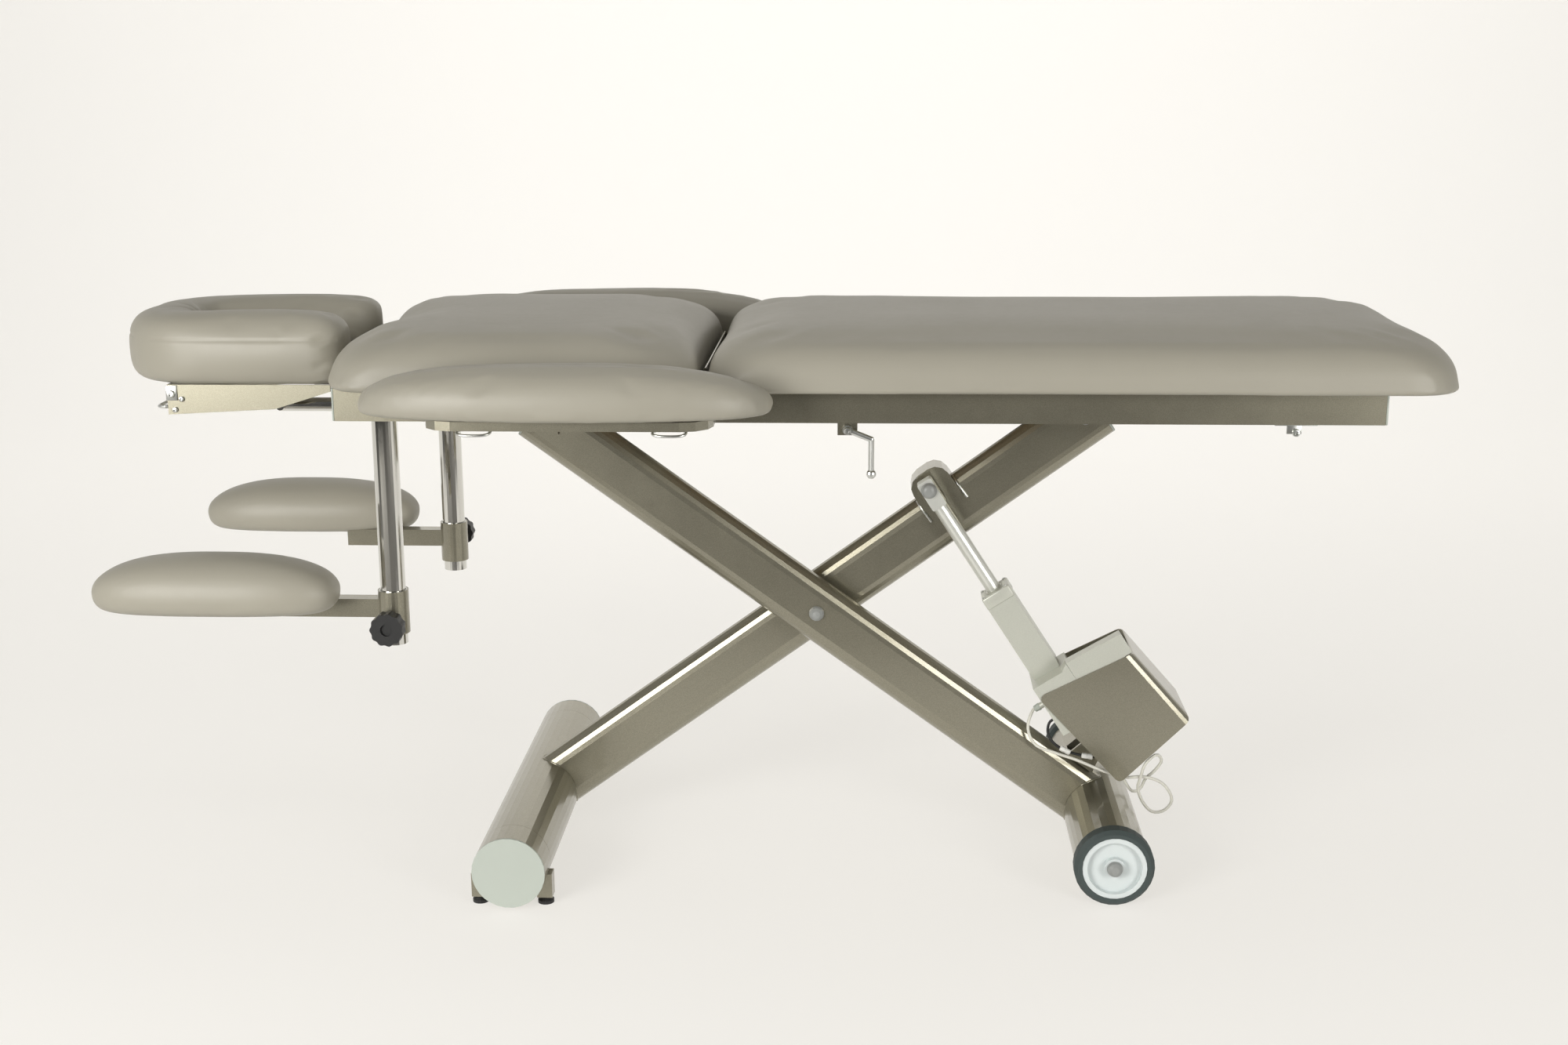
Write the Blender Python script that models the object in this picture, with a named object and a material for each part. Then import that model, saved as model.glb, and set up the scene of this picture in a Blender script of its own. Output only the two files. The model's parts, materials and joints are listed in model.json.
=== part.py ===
"""Electric massage table with a scissor lift, a headrest, two armrests and two side wings.

Metres, +Z up. The head end points along -X and the foot end along +X. The origin lies on the
floor, midway along the whole length. Every piece is one object, parented to an empty that stands
on the joint that moves it.
"""

import math

import bmesh
import bpy
from mathutils import Matrix, Vector

# Clearances and cutter overruns
GAP = 0.0003
RUNNING_GAP = 0.0004
OVERRUN = 0.010
MERGE = 0.00001

# Scissor lift: arm lengths run from axis to axis
LIFT_ANGLE = math.radians(36.0)
LOWER_ARM = 0.580
UPPER_ARM = 0.535
ARM_TAIL = 0.025
ARM_DEPTH = 0.096
ARM_WIDTH = 0.048
ARM_WALL = 0.003
ARM_SPACE = 0.008
PIVOT_R = 0.011
PIVOT_FLANGE_R = 0.030
PIVOT_DOME_R = 0.0125
PIVOT_DOME_H = 0.012

# Wheels and the tube between them
WHEEL_R = 0.0625
TYRE_W = 0.032
TYRE_ROUND = 0.006
HUB_R = 0.0500
HUB_RIM_R = 0.0425
HUB_BOSS_R = 0.016
HUB_RIM_W = 0.030
HUB_WEB_W = 0.010
WHEEL_OUT_Y = 0.2826
AXLE_R = 0.006
AXLE_DOME_R = 0.0125
AXLE_DOME_H = 0.011
WHEEL_SIDE_GAP = 0.004
PLUG_W = 0.012

# Round foot tube, its inner core, its fixed collars and caps
TUBE_R = 0.05715
TUBE_WALL = 0.0045
CORE_WALL = 0.004
COLLAR_SEAM = 0.0006
COLLAR_L = 0.058
BASE_HALF_Y = 0.3325
CAP_W = 0.003
LEG_SPAN = 0.0515
LEG_SIZE = 0.024
LEG_BOTTOM = 0.0115
LEG_LEAN = math.radians(10.0)
FOOT_INSET = 0.0375
FOOT_R = 0.0128
FOOT_DISC_H = 0.005
FOOT_NECK_R = 0.007

# Top frame: rectangular rails and cross bars
RAIL_OUT_Y = 0.250
RAIL_W = 0.050
RAIL_H = 0.050
RAIL_WALL = 0.002
RAIL_OVER_PIN = 0.039
RAIL_HEAD_REACH = 0.722
RAIL_FOOT_REACH = 0.845
CROSS_W = 0.040
CROSS_RISE = 0.022
CROSS_WALL = 0.002
HEAD_CROSS_INSET = 0.042
HINGE_REACH = 0.164
TRACK_CROSS_REACH = 0.385
FOOT_CROSS_REACH = 0.615
PIN_EAR = 0.005
PIN_EAR_HALF = 0.018
TOP_PIN_R = 0.008

# Roller at the top of the lift arm and the track it runs in
ROLLER_R = 0.013
ROLLER_W = 0.012
ROLLER_AXLE_R = 0.006
ROLLER_HEAD_R = 0.0095
ROLLER_HEAD_H = 0.003
ROLLER_SIDE_GAP = 0.0025
TRACK_PLATE = 0.003
TRACK_PLAY = 0.0005
TRACK_LAP = 0.012

# Actuator, from its rear pin on the wheel arm to its clevis pin on the lift arm
REAR_PIN_ALONG = 0.5024
REAR_PIN_OVER = 0.0889
CLEVIS_ALONG = 0.2665
CLEVIS_OVER = 0.0589
ROD_R = 0.0122
EYE_HALF = 0.0128
EYE_BACK = 0.034
EYE_FRONT = 0.0165
EYE_ROUND = 0.003
CLEVIS_PIN_R = 0.009
CLEVIS_DOME_R = 0.0118
CLEVIS_DOME_H = 0.009
CLEVIS_PLATE = 0.004
CLEVIS_ROOM = 0.0005
CLEVIS_SHIFT = 0.004
CLEVIS_HALF = 0.034
CLEVIS_FOOT = 0.003
CLEVIS_CROWN = 0.0225
CLEVIS_ROUND = 0.024
HOUSING_TOP = 0.3085
HOUSING_BOTTOM = 0.147
HOUSING_N = 0.048
HOUSING_Y = 0.048
GEARBOX_BOTTOM = 0.055
GEARBOX_LEFT_N = 0.030
GEARBOX_RIGHT_N = 0.0375
GEARBOX_BACK = 0.028
GEARBOX_EAR_N = 0.0243
GEARBOX_EAR_TOP = 0.158
GEAR_LAP = 0.004
ACTUATOR_ROUND = 0.006
REAR_EYE_N = 0.034
REAR_EYE_Y = 0.030
REAR_EYE_R = 0.017
ROD_BOTTOM = 0.300
BORE_BOTTOM = 0.132
MOUNT_PLATE = 0.005
MOUNT_HALF = 0.026
MOUNT_CROWN = 0.014
MOUNT_PIN_R = 0.007
MOTOR_LOW = 0.010
MOTOR_HIGH = 0.106
MOTOR_BACK = 0.046
MOTOR_ROUND = 0.006
MOTOR_SIDE_GAP = 0.0130
MOTOR_FACE_DEEP = 0.022
MOTOR_FACE_LEFT = 0.159
MOTOR_FACE_RIGHT = 0.1545
MOTOR_FACE_STEP = 0.1180
MOTOR_FACE_EDGE = 0.0005
COVER_FRONT = 0.062
COVER_BACK = 0.089
COVER_SHEET = 0.002
COVER_ROUND = 0.009
COVER_BEND = 0.012
COVER_CUT = 0.260
COVER_CORNERS = ((-0.0310, 0.1337), (0.1370, 0.1159), (0.1587, -0.0307), (0.0044, -0.0632))

# Cord, its gland and its plug
CORD_D = 0.005
GLAND_R = 0.0055
GLAND_OUT = 0.0105
GLAND_ALONG = 0.105
GLAND_Y = -0.045
PLUG_R = 0.009
PLUG_L = 0.016
RELIEF_L = 0.018
CORD_STEP_SHARE = 2.6
CORD_FINE_STEPS = 40
CORD_ROUND_STEPS = 1
RELIEF_SHARE = 0.8
CORD_BENDS = (
    (0.3480, -0.0560, 0.2124), (0.3601, -0.0660, 0.1866), (0.3929, -0.0760, 0.1759),
    (0.4261, -0.0790, 0.1657), (0.4710, -0.0790, 0.1468), (0.5066, -0.0790, 0.1366),
    (0.5387, -0.0770, 0.1366), (0.5696, -0.0720, 0.1235), (0.5860, -0.0700, 0.0961),
    (0.5758, -0.0690, 0.0765), (0.5552, -0.0700, 0.0730), (0.5387, -0.0720, 0.0903),
    (0.5288, -0.0770, 0.1160), (0.5316, -0.0830, 0.1378), (0.5381, -0.0850, 0.1617),
    (0.5559, -0.0800, 0.1765), (0.5663, -0.0720, 0.1631), (0.5558, -0.0660, 0.1429),
    (0.5431, -0.0615, 0.1280), (0.5346, -0.0600, 0.1094), (0.5202, -0.0600, 0.1062),
    (0.5030, -0.0630, 0.1348), (0.4962, -0.0680, 0.1507))

# Boards and cushions of the top
BOARD_H = 0.012
BOARD_INSET = 0.045
TOP_HALF_Y = 0.310
TOP_THICK = 0.086
TOP_CORNERS = (0.070, 0.105)
TOP_EDGE = 0.055
TOP_ROLL = 0.060
TOP_FOOT_EDGE = 0.0105
TOP_CROWN = 0.009
TOP_DRAW = 0.004
TOP_HEAD_DRAW = 0.021
TORSO_HEAD_REACH = 0.7335
LEG_FOOT_REACH = 0.955
SECTION_GAP = 0.0052
HINGE_RISE = 0.023
HINGE_PIN_R = 0.0020
HINGE_LEAF = 0.0016

# Gas spring of the leg section
SPRING_Y = 0.140
SPRING_BASE_DROP = 0.060
SPRING_EYE_DROP = 0.015
SPRING_BASE_REACH = 0.302
SPRING_EYE_REACH = 0.052
SPRING_R = 0.011
SPRING_ROD_R = 0.005
SPRING_EYE_R = 0.009
SPRING_EYE_W = 0.010
SPRING_LUG = 0.004
SPRING_TUBE_L = 0.140
SPRING_ROD_IN = 0.060
SPRING_PIN_R = 0.004
SPRING_BORE = 0.125
SPRING_LAP = 0.006
SPRING_NECK = 0.018
SPRING_LEG_LUG = 0.030

# Side wings
WING_X = -0.357
WING_HALF_X = 0.3035
WING_IN_Y = 0.314
WING_OUT_Y = 0.445
WING_THICK = 0.075
WING_DROP = 0.018
WING_LIFTS = {"near": 0.0, "far": 0.018}
WING_EDGE = 0.032
WING_CROWN = 0.006
WING_THIN_SHARE = 0.5
WING_THIN_POWER = 3.5
WING_TRAY_H = 0.0135
WING_TRAY_X = -0.346
WING_TRAY_HALF_X = 0.2085
WING_TRAY_OUT_Y = 0.420
WING_TRAY_CORNER = 0.045

# Release lever under the near rail
LEVER_REACH = 0.052
LEVER_PLATE = 0.004
LEVER_PLATE_L = 0.030
LEVER_PLATE_H = 0.013
LEVER_ARM_X = 0.036
LEVER_ARM_Z = 0.0145
LEVER_HANG = 0.053
LEVER_R = 0.0045
LEVER_BALL_R = 0.0075
LEVER_IN = 0.020

# Headrest
HEAD_LEFT_REACH = 1.1055
HEAD_RIGHT_REACH = 0.7275
HEAD_HALF_Y = 0.158
HEAD_SLOT_Y = 0.050
HEAD_THICK = 0.111
HEAD_RISE = 0.015
HEAD_CORNER = 0.092
HEAD_TRAY_LEFT = 1.020
HEAD_TRAY_RIGHT = 0.760
HEAD_TRAY_Y = 0.130
HEAD_TRAY_WALL = 0.004
HEAD_TRAY_DEEP = 0.0477
HEAD_TRAY_SHALLOW = 0.0387
HEAD_TRAY_TIP = 0.0105
HEAD_TRAY_FALL = 0.170
HEAD_HINGE_REACH = 0.850
HEAD_TUBE_Y = 0.105
HEAD_TUBE_R = 0.011
HEAD_TUBE_IN = 0.540
HEAD_ROD_R = 0.007
HEAD_SLEEVE_HALF = 0.0155
HEAD_SLEEVE_L = 0.080
HEAD_TUBE_DROP = 0.022
HEAD_LOOP_RISE = 0.008
HEAD_CORNER_TRIM = 0.012
LOOP_R = 0.003
LOOP_HALF_Y = 0.105
LOOP_OUT = 0.026
LOOP_BEND = 0.010

# Armrests on their posts
POST_REACH = 0.6526
POST_R = 0.0195
POST_WALL = 0.002
POST_BOTTOM = 0.402
COLLAR_R = 0.0236
BUSH_WALL = 0.0014
COLLAR_TOP = 0.4877
COLLAR_BOTTOM = 0.4190
BAR_TOP = 0.4746
BAR_H = 0.029
BAR_W = 0.025
BAR_L = 0.165
PAD_PLATE_H = 0.003
PAD_PLATE_LAP = 0.0005
PAD_PLATE_L = 0.220
PAD_PLATE_IN_Y = 0.235
PAD_LEFT_REACH = 1.106
PAD_RIGHT_REACH = 0.725
PAD_IN_Y = 0.200
PAD_OUT_Y = 0.340
PAD_THICK = 0.087
PAD_FOOT_EDGE = 0.026
PAD_SINK = 0.011
KNOB_R = 0.0262
KNOB_L = 0.022
KNOB_DROPS = {"near": 0.0507, "far": 0.0302}
KNOB_STEM_R = 0.006
KNOB_STEM_L = 0.010
KNOB_LOBES = 11
KNOB_LOBE = 0.0022
KNOB_RECESS_R = 0.0095
KNOB_RECESS = 0.004

# Rings, segments and shares of the shapes
ROUND_STEPS = 30
SMALL_STEPS = 18
KNOB_STEPS = 55
OVAL_STEPS = 10
CORNER_STEPS = 5
SIDE_STEPS = 6
EDGE_STEPS = 5
HEAD_RING_STEPS = 16
LEVER_STEPS = 14
BOW_STEPS = 20
PAD_STEPS = 28
PAD_RISE_STEPS = 7
PAD_LAST_ANGLE = math.radians(84.0)
BEVEL_SHARE = 0.5
PILLOW_REACH_SHARE = 0.72
CORNER_MOST_SHARE = 0.8
BOW_SHARE = 0.55
BOW_REACH_SHARE = 0.40
PAD_PLAN_POWER = 2.8
PAD_RISE_POWER = 2.3
TIP_SHARES = (0.06, 0.3, 0.62, 1.0)
TIP_HEIGHT_SHARE = 0.45
HEAD_ROUND_SHARE = 0.58
FULL_TURN = 2 * math.pi

# Heights and places worked out from the values above
FOOT_TUBE_Y = BASE_HALF_Y - COLLAR_L
FOOT_Y = BASE_HALF_Y - FOOT_INSET
HEAD_CROSS_REACH = RAIL_HEAD_REACH - HEAD_CROSS_INSET
MOTOR_FRONT = COVER_FRONT - COVER_SHEET - GAP
AXLE_Z = WHEEL_R
ARM_REACH = LOWER_ARM * math.cos(LIFT_ANGLE)
TOP_REACH = UPPER_ARM * math.cos(LIFT_ANGLE)
PIVOT_X = (PAD_LEFT_REACH - LEG_FOOT_REACH) / 2
PIVOT_Z = AXLE_Z + LOWER_ARM * math.sin(LIFT_ANGLE)
TOP_PIN_Z = PIVOT_Z + UPPER_ARM * math.sin(LIFT_ANGLE)
FOOT_X = PIVOT_X - ARM_REACH
WHEEL_X = PIVOT_X + ARM_REACH
ARM_Y = (ARM_WIDTH + ARM_SPACE) / 2
RAIL_Z = TOP_PIN_Z + RAIL_OVER_PIN
RAIL_TOP = RAIL_Z + RAIL_H
RAIL_Y = RAIL_OUT_Y - RAIL_W / 2
RAIL_IN_Y = RAIL_OUT_Y - RAIL_W
CROSS_Z = RAIL_Z + CROSS_RISE
DECK_Z = RAIL_TOP + GAP
TOP_Z = RAIL_TOP + TOP_THICK
CORE_R = TUBE_R - TUBE_WALL - RUNNING_GAP
TUBE_PLUG_Y = WHEEL_OUT_Y - TYRE_W - WHEEL_SIDE_GAP
HINGE_X = PIVOT_X - HINGE_REACH
HINGE_Z = RAIL_TOP + HINGE_RISE
ALONG = Vector((math.cos(LIFT_ANGLE), 0, math.sin(LIFT_ANGLE)))
ABOVE = Vector((-math.sin(LIFT_ANGLE), 0, math.cos(LIFT_ANGLE)))
PIVOT = Vector((PIVOT_X, 0, PIVOT_Z))
FOOT_AXIS = Vector((FOOT_X, 0, AXLE_Z))
WHEEL_AXIS = Vector((WHEEL_X, 0, AXLE_Z))
ROLLER_AXIS = PIVOT + ALONG * UPPER_ARM
B_ALONG = Vector((-ALONG.x, 0, ALONG.z))
B_ABOVE = Vector((-ABOVE.x, 0, ABOVE.z))
TOP_PIN = PIVOT + B_ALONG * UPPER_ARM
CLEVIS_PIN = PIVOT + ALONG * CLEVIS_ALONG + ABOVE * CLEVIS_OVER
REAR_PIN = PIVOT - B_ALONG * REAR_PIN_ALONG + B_ABOVE * REAR_PIN_OVER
ROD_AXIS = (CLEVIS_PIN - REAR_PIN).normalized()
ROD_SIDE = Vector((ROD_AXIS.z, 0, -ROD_AXIS.x))
ROD_SPAN = (CLEVIS_PIN - REAR_PIN).length
SPRING_BASE = Vector((PIVOT_X + SPRING_BASE_REACH, SPRING_Y, RAIL_TOP - SPRING_BASE_DROP))
SPRING_EYE = Vector((PIVOT_X + SPRING_EYE_REACH, SPRING_Y, RAIL_TOP - SPRING_EYE_DROP))
HEAD_TUBE_Z = CROSS_Z - HEAD_TUBE_DROP
HEAD_BOTTOM = RAIL_TOP - HEAD_RISE
HEAD_HINGE = Vector((PIVOT_X - HEAD_HINGE_REACH, 0, HEAD_TUBE_Z))
WING_BOTTOM = RAIL_TOP - WING_DROP
TRAY_TOP = WING_BOTTOM - GAP
LEVER_Y = -RAIL_OUT_Y + LEVER_IN
LEVER_AXIS = Vector((PIVOT_X + LEVER_REACH, -RAIL_Y, RAIL_Z - LEVER_PLATE_H))
GLAND_TIP = (REAR_PIN + ROD_AXIS * GLAND_ALONG - ROD_SIDE * (GEARBOX_LEFT_N + GLAND_OUT)
             + Vector((0, GLAND_Y, 0)))
CORD_ROUTE = [GLAND_TIP - ROD_SIDE * GAP, GLAND_TIP - ROD_SIDE * CORD_D * CORD_STEP_SHARE]
CORD_ROUTE += [Vector((PIVOT_X + x, y, z)) for x, y, z in CORD_BENDS]


def finish(name, colour, roughness, metallic=0.0):
    """One Principled material in the colour that the piece shows."""
    material = bpy.data.materials.new(name)
    material.use_nodes = True
    shader = material.node_tree.nodes["Principled BSDF"]
    shader.inputs["Base Color"].default_value = (*colour, 1.0)
    shader.inputs["Roughness"].default_value = roughness
    shader.inputs["Metallic"].default_value = metallic
    material.diffuse_color = (*colour, 1.0)
    return material


def clear_scene():
    for item in list(bpy.data.objects):
        bpy.data.objects.remove(item)


def carrier(name, place):
    """Empty on a joint's axis, which carries the pieces that the joint moves."""
    empty = bpy.data.objects.new(name, None)
    empty.location = place
    bpy.context.collection.objects.link(empty)
    return empty


def mesh_object(name, bm, material=None):
    bmesh.ops.recalc_face_normals(bm, faces=bm.faces)
    mesh = bpy.data.meshes.new(name)
    bm.to_mesh(mesh)
    bm.free()
    if material:
        mesh.materials.append(material)
    mesh.shade_smooth()
    mesh.set_sharp_from_angle(angle=math.radians(35.0))
    item = bpy.data.objects.new(name, mesh)
    bpy.context.collection.objects.link(item)
    return item


def piece(name, bm, material, parent):
    """A finished piece: its mesh is built in place and then held from its carrier."""
    bmesh.ops.translate(bm, verts=bm.verts, vec=-parent.location)
    item = mesh_object(name, bm, material)
    item.parent = parent
    return item


def helper(bm, label):
    """A shape that only cuts or joins another one."""
    item = mesh_object(label, bm)
    item.hide_render = True
    item.display_type = "WIRE"
    return item


def combine(item, bm, operation):
    modifier = item.modifiers.new(operation.lower(), "BOOLEAN")
    modifier.operation = operation
    modifier.solver = "EXACT"
    modifier.object = helper(bm, f"{item.name}.{operation.lower()}.{len(item.modifiers)}")


def cut(item, bm):
    combine(item, bm, "DIFFERENCE")


def weld(item, bm):
    combine(item, bm, "UNION")


def block(low, high, rounding=0.0, steps=2, turn=None):
    """Box between two corners, with rounded edges and an optional turn about its middle."""
    bm = bmesh.new()
    bmesh.ops.create_cube(bm, size=1.0)
    low, high = Vector(low), Vector(high)
    bmesh.ops.scale(bm, verts=bm.verts, vec=high - low)
    if rounding:
        bmesh.ops.bevel(bm, geom=bm.edges[:], offset=rounding, segments=steps, profile=BEVEL_SHARE,
                        affect="EDGES", material=-1)
    if turn:
        bmesh.ops.rotate(bm, verts=bm.verts, cent=(0, 0, 0), matrix=turn)
    bmesh.ops.translate(bm, verts=bm.verts, vec=(low + high) / 2)
    return bm


def towards(axis):
    """Turn that takes +Z to an axis."""
    return Vector((0, 0, 1)).rotation_difference(Vector(axis)).to_matrix()


def turned(profile, place, axis, steps=ROUND_STEPS, closed=False):
    """Shape turned about an axis; the profile lists (radius, distance along the axis)."""
    bm = bmesh.new()
    verts = [bm.verts.new((radius, 0, height)) for radius, height in profile]
    edges = [bm.edges.new(pair) for pair in zip(verts, verts[1:])]
    if closed:
        edges.append(bm.edges.new((verts[-1], verts[0])))
    bmesh.ops.spin(bm, geom=verts + edges, cent=(0, 0, 0), axis=(0, 0, 1), angle=FULL_TURN,
                   steps=steps, use_merge=True, use_duplicate=False)
    bmesh.ops.remove_doubles(bm, verts=bm.verts, dist=MERGE)
    bmesh.ops.rotate(bm, verts=bm.verts, cent=(0, 0, 0), matrix=towards(axis))
    bmesh.ops.translate(bm, verts=bm.verts, vec=place)
    return bm


def rod(start, end, radius, steps=SMALL_STEPS):
    """Plain round bar between two points."""
    span = Vector(end) - Vector(start)
    profile = [(0, 0), (radius, 0), (radius, span.length), (0, span.length)]
    return turned(profile, start, span, steps)


def pipe(start, end, outer, inner, steps=ROUND_STEPS):
    """Round tube, open at both ends."""
    span = Vector(end) - Vector(start)
    profile = [(inner, 0), (outer, 0), (outer, span.length), (inner, span.length)]
    return turned(profile, start, span, steps, closed=True)


def dome(radius, height, base, steps=3):
    """Profile points of a domed end, from its rim to its middle."""
    angles = [math.pi / 2 * step / steps for step in range(steps + 1)]
    return [(radius * math.cos(angle), base + height * math.sin(angle)) for angle in angles]


def prism(outline, thickness, frame):
    """Outline drawn in a frame's first two axes and extruded along its third."""
    bm = bmesh.new()
    face = bm.faces.new([bm.verts.new((x, y, 0)) for x, y in outline])
    grown = bmesh.ops.extrude_face_region(bm, geom=[face])
    moved = [part for part in grown["geom"] if isinstance(part, bmesh.types.BMVert)]
    bmesh.ops.translate(bm, verts=moved, vec=(0, 0, thickness))
    bmesh.ops.transform(bm, matrix=frame, verts=bm.verts)
    return bm


def frame_of(place, first, second):
    """Matrix whose columns are two given axes, the third across them, and a place."""
    first, second = Vector(first), Vector(second)
    third = first.cross(second)
    columns = (first.to_4d(), second.to_4d(), third.to_4d(), Vector(place).to_4d())
    matrix = Matrix(columns).transposed()
    matrix[3] = (0, 0, 0, 1)
    return matrix


def rounded(corners, radius, steps=3):
    """Polygon with every corner drawn as an arc."""
    points = []
    for index, corner in enumerate(corners):
        here = Vector(corner)
        back = (Vector(corners[index - 1]) - here).normalized()
        ahead = (Vector(corners[(index + 1) % len(corners)]) - here).normalized()
        half = back.angle(ahead) / 2
        middle = here + (back + ahead).normalized() * (radius / math.sin(half))
        start = here + back * (radius / math.tan(half)) - middle
        sweep = start.angle_signed(here + ahead * (radius / math.tan(half)) - middle)
        for step in range(steps + 1):
            turn = Matrix.Rotation(-sweep * step / steps, 2)
            points.append(tuple(middle + turn @ start))
    return points


def oval(depth, width, steps=OVAL_STEPS):
    """Flat oval: straight sides joined by two half rounds."""
    radius = width / 2
    straight = depth / 2 - radius
    points = []
    for side in (1, -1):
        for step in range(steps + 1):
            angle = math.pi * step / steps
            points.append((side * (straight + radius * math.sin(angle)), side * radius * math.cos(angle)))
    return points


def loft(rings):
    """Closed skin over a stack of rings with equal counts of points."""
    bm = bmesh.new()
    loops = []
    for ring in rings:
        verts = [bm.verts.new(point) for point in ring]
        loops.append([bm.edges.new((verts[i - 1], verts[i])) for i in range(len(verts))])
    for lower, upper in zip(loops, loops[1:]):
        bmesh.ops.bridge_loops(bm, edges=lower + upper)
    for loop in (loops[0], loops[-1]):
        bmesh.ops.edgeloop_fill(bm, edges=loop)
    return bm


def cushion_plan(half_x, half_y, corner, draws):
    """Rounded rectangle whose four sides pull in between its corners."""
    corner = min(corner, half_x * CORNER_MOST_SHARE, half_y * CORNER_MOST_SHARE)
    points = []
    for turn, (side_x, side_y) in enumerate(((1, 1), (-1, 1), (-1, -1), (1, -1))):
        middle = (side_x * (half_x - corner), side_y * (half_y - corner))
        for step in range(CORNER_STEPS):
            angle = math.pi / 2 * (turn + step / CORNER_STEPS)
            points.append((middle[0] + corner * math.cos(angle), middle[1] + corner * math.sin(angle)))
        length = 2 * ((half_x if turn % 2 == 0 else half_y) - corner)
        heading = math.pi / 2 * (turn + 1)
        start = (middle[0] + corner * math.cos(heading), middle[1] + corner * math.sin(heading))
        along = (-math.sin(heading), math.cos(heading))
        for step in range(SIDE_STEPS):
            share = step / SIDE_STEPS
            pull = draws[turn] * math.sin(math.pi * share) ** 2
            points.append((start[0] + along[0] * length * share - math.cos(heading) * pull,
                           start[1] + along[1] * length * share - math.sin(heading) * pull))
    return points


def edge_profile(thick, edges, crown, reach):
    """Insets and heights of a cushion's rings, from its underside over its edge to its crown."""
    top_edge, roll, foot_edge = edges
    body = thick - crown
    rings = []
    for step in range(EDGE_STEPS - 1):
        angle = math.pi / 2 * step / (EDGE_STEPS - 2)
        rings.append((foot_edge * (1 - math.sin(angle)), foot_edge * (1 - math.cos(angle))))
    for step in range(EDGE_STEPS + 1):
        angle = math.pi / 2 * step / EDGE_STEPS
        rings.append((top_edge * (1 - math.cos(angle)), body - roll * (1 - math.sin(angle))))
    for step in range(1, EDGE_STEPS):
        share = step / (EDGE_STEPS - 1)
        rings.append((top_edge + (reach - top_edge) * share, body + crown * math.sin(math.pi / 2 * share)))
    return rings


def pillow(middle, half_x, half_y, thick, corners, edges, crown, draws):
    """Upholstered block: soft upper edges, tight lower ones, drawn-in sides and a crowned top."""
    reach = min(half_x, half_y) * PILLOW_REACH_SHARE
    rings = []
    for inset, height in edge_profile(thick, edges, crown, reach):
        share = min(height / thick, 1)
        corner = corners[0] + (corners[1] - corners[0]) * share
        plan = cushion_plan(half_x - inset, half_y - inset, corner, draws)
        rings.append([(middle[0] + x, middle[1] + y, middle[2] + height) for x, y in plan])
    return loft(rings)


def oval_pillow(middle, half_x, half_y, thick, foot_edge):
    """Armrest pad: a rounded-oblong plan that closes evenly towards its crown."""
    sizes = []
    for step in range(EDGE_STEPS):
        angle = math.pi / 2 * step / EDGE_STEPS
        inset = foot_edge * (1 - math.sin(angle))
        sizes.append((half_x - inset, half_y - inset, foot_edge * (1 - math.cos(angle))))
    for step in range(PAD_RISE_STEPS + 1):
        angle = PAD_LAST_ANGLE * step / PAD_RISE_STEPS
        share = math.cos(angle) ** (2 / PAD_RISE_POWER)
        rise = math.sin(angle) ** (2 / PAD_RISE_POWER)
        sizes.append((half_x * share, half_y * share, foot_edge + (thick - foot_edge) * rise))
    rings = []
    for wide, deep, height in sizes:
        ring = []
        for step in range(PAD_STEPS):
            angle = FULL_TURN * step / PAD_STEPS
            x = math.copysign(abs(math.cos(angle)) ** (2 / PAD_PLAN_POWER), math.cos(angle)) * wide
            y = math.copysign(abs(math.sin(angle)) ** (2 / PAD_PLAN_POWER), math.sin(angle)) * deep
            ring.append((middle[0] + x, middle[1] + y, middle[2] + height))
        rings.append(ring)
    return loft(rings)


def bow_plan(half_x, depth, side, inset):
    """Half-moon plan: a straight inner side and a bowed outer one, shrunk by an inset."""
    points = []
    wide = half_x - inset
    deep = depth - 2 * inset
    for step in range(BOW_STEPS + 1):
        angle = math.pi * step / BOW_STEPS
        swell = math.sin(angle) ** BOW_SHARE
        points.append((wide * math.cos(angle), side * (inset + deep * swell)))
    inner = [1 - 2 * step / SIDE_STEPS for step in range(1, SIDE_STEPS)]
    points += [(-wide * share, side * inset) for share in inner]
    return points


def bow_pillow(middle_x, inner_y, side, bottom, half_x, depth, thick, edges, crown):
    """Wing cushion with the half-moon plan, thinner towards its two tips."""
    rings = []
    for inset, height in edge_profile(thick, edges, crown, depth * BOW_REACH_SHARE):
        ring = []
        for x, y in bow_plan(half_x, depth, side, inset):
            thin = 1 - WING_THIN_SHARE * min(abs(x) / half_x, 1) ** WING_THIN_POWER
            ring.append((middle_x + x, side * inner_y + y, bottom + height * thin))
        rings.append(ring)
    return loft(rings)


clear_scene()

PAINT = finish("frame_paint", (0.262, 0.235, 0.162), 0.30, 0.75)
VINYL = finish("upholstery", (0.445, 0.412, 0.330), 0.50)
CHROME = finish("chrome", (0.72, 0.72, 0.70), 0.10, 1.0)
PALE_CAP = finish("pale_cap", (0.46, 0.50, 0.45), 0.45)
BLACK = finish("black_plastic", (0.020, 0.020, 0.020), 0.45)
SILVER = finish("silver_case", (0.60, 0.62, 0.55), 0.35, 0.5)
TYRE = finish("tyre", (0.060, 0.075, 0.075), 0.70)
HUB = finish("hub", (0.62, 0.68, 0.68), 0.40)
WOOD = finish("plywood", (0.50, 0.36, 0.20), 0.70)
CORD = finish("cord", (0.72, 0.71, 0.64), 0.50)
ZINC = finish("zinc", (0.62, 0.63, 0.60), 0.30, 0.9)


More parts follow.
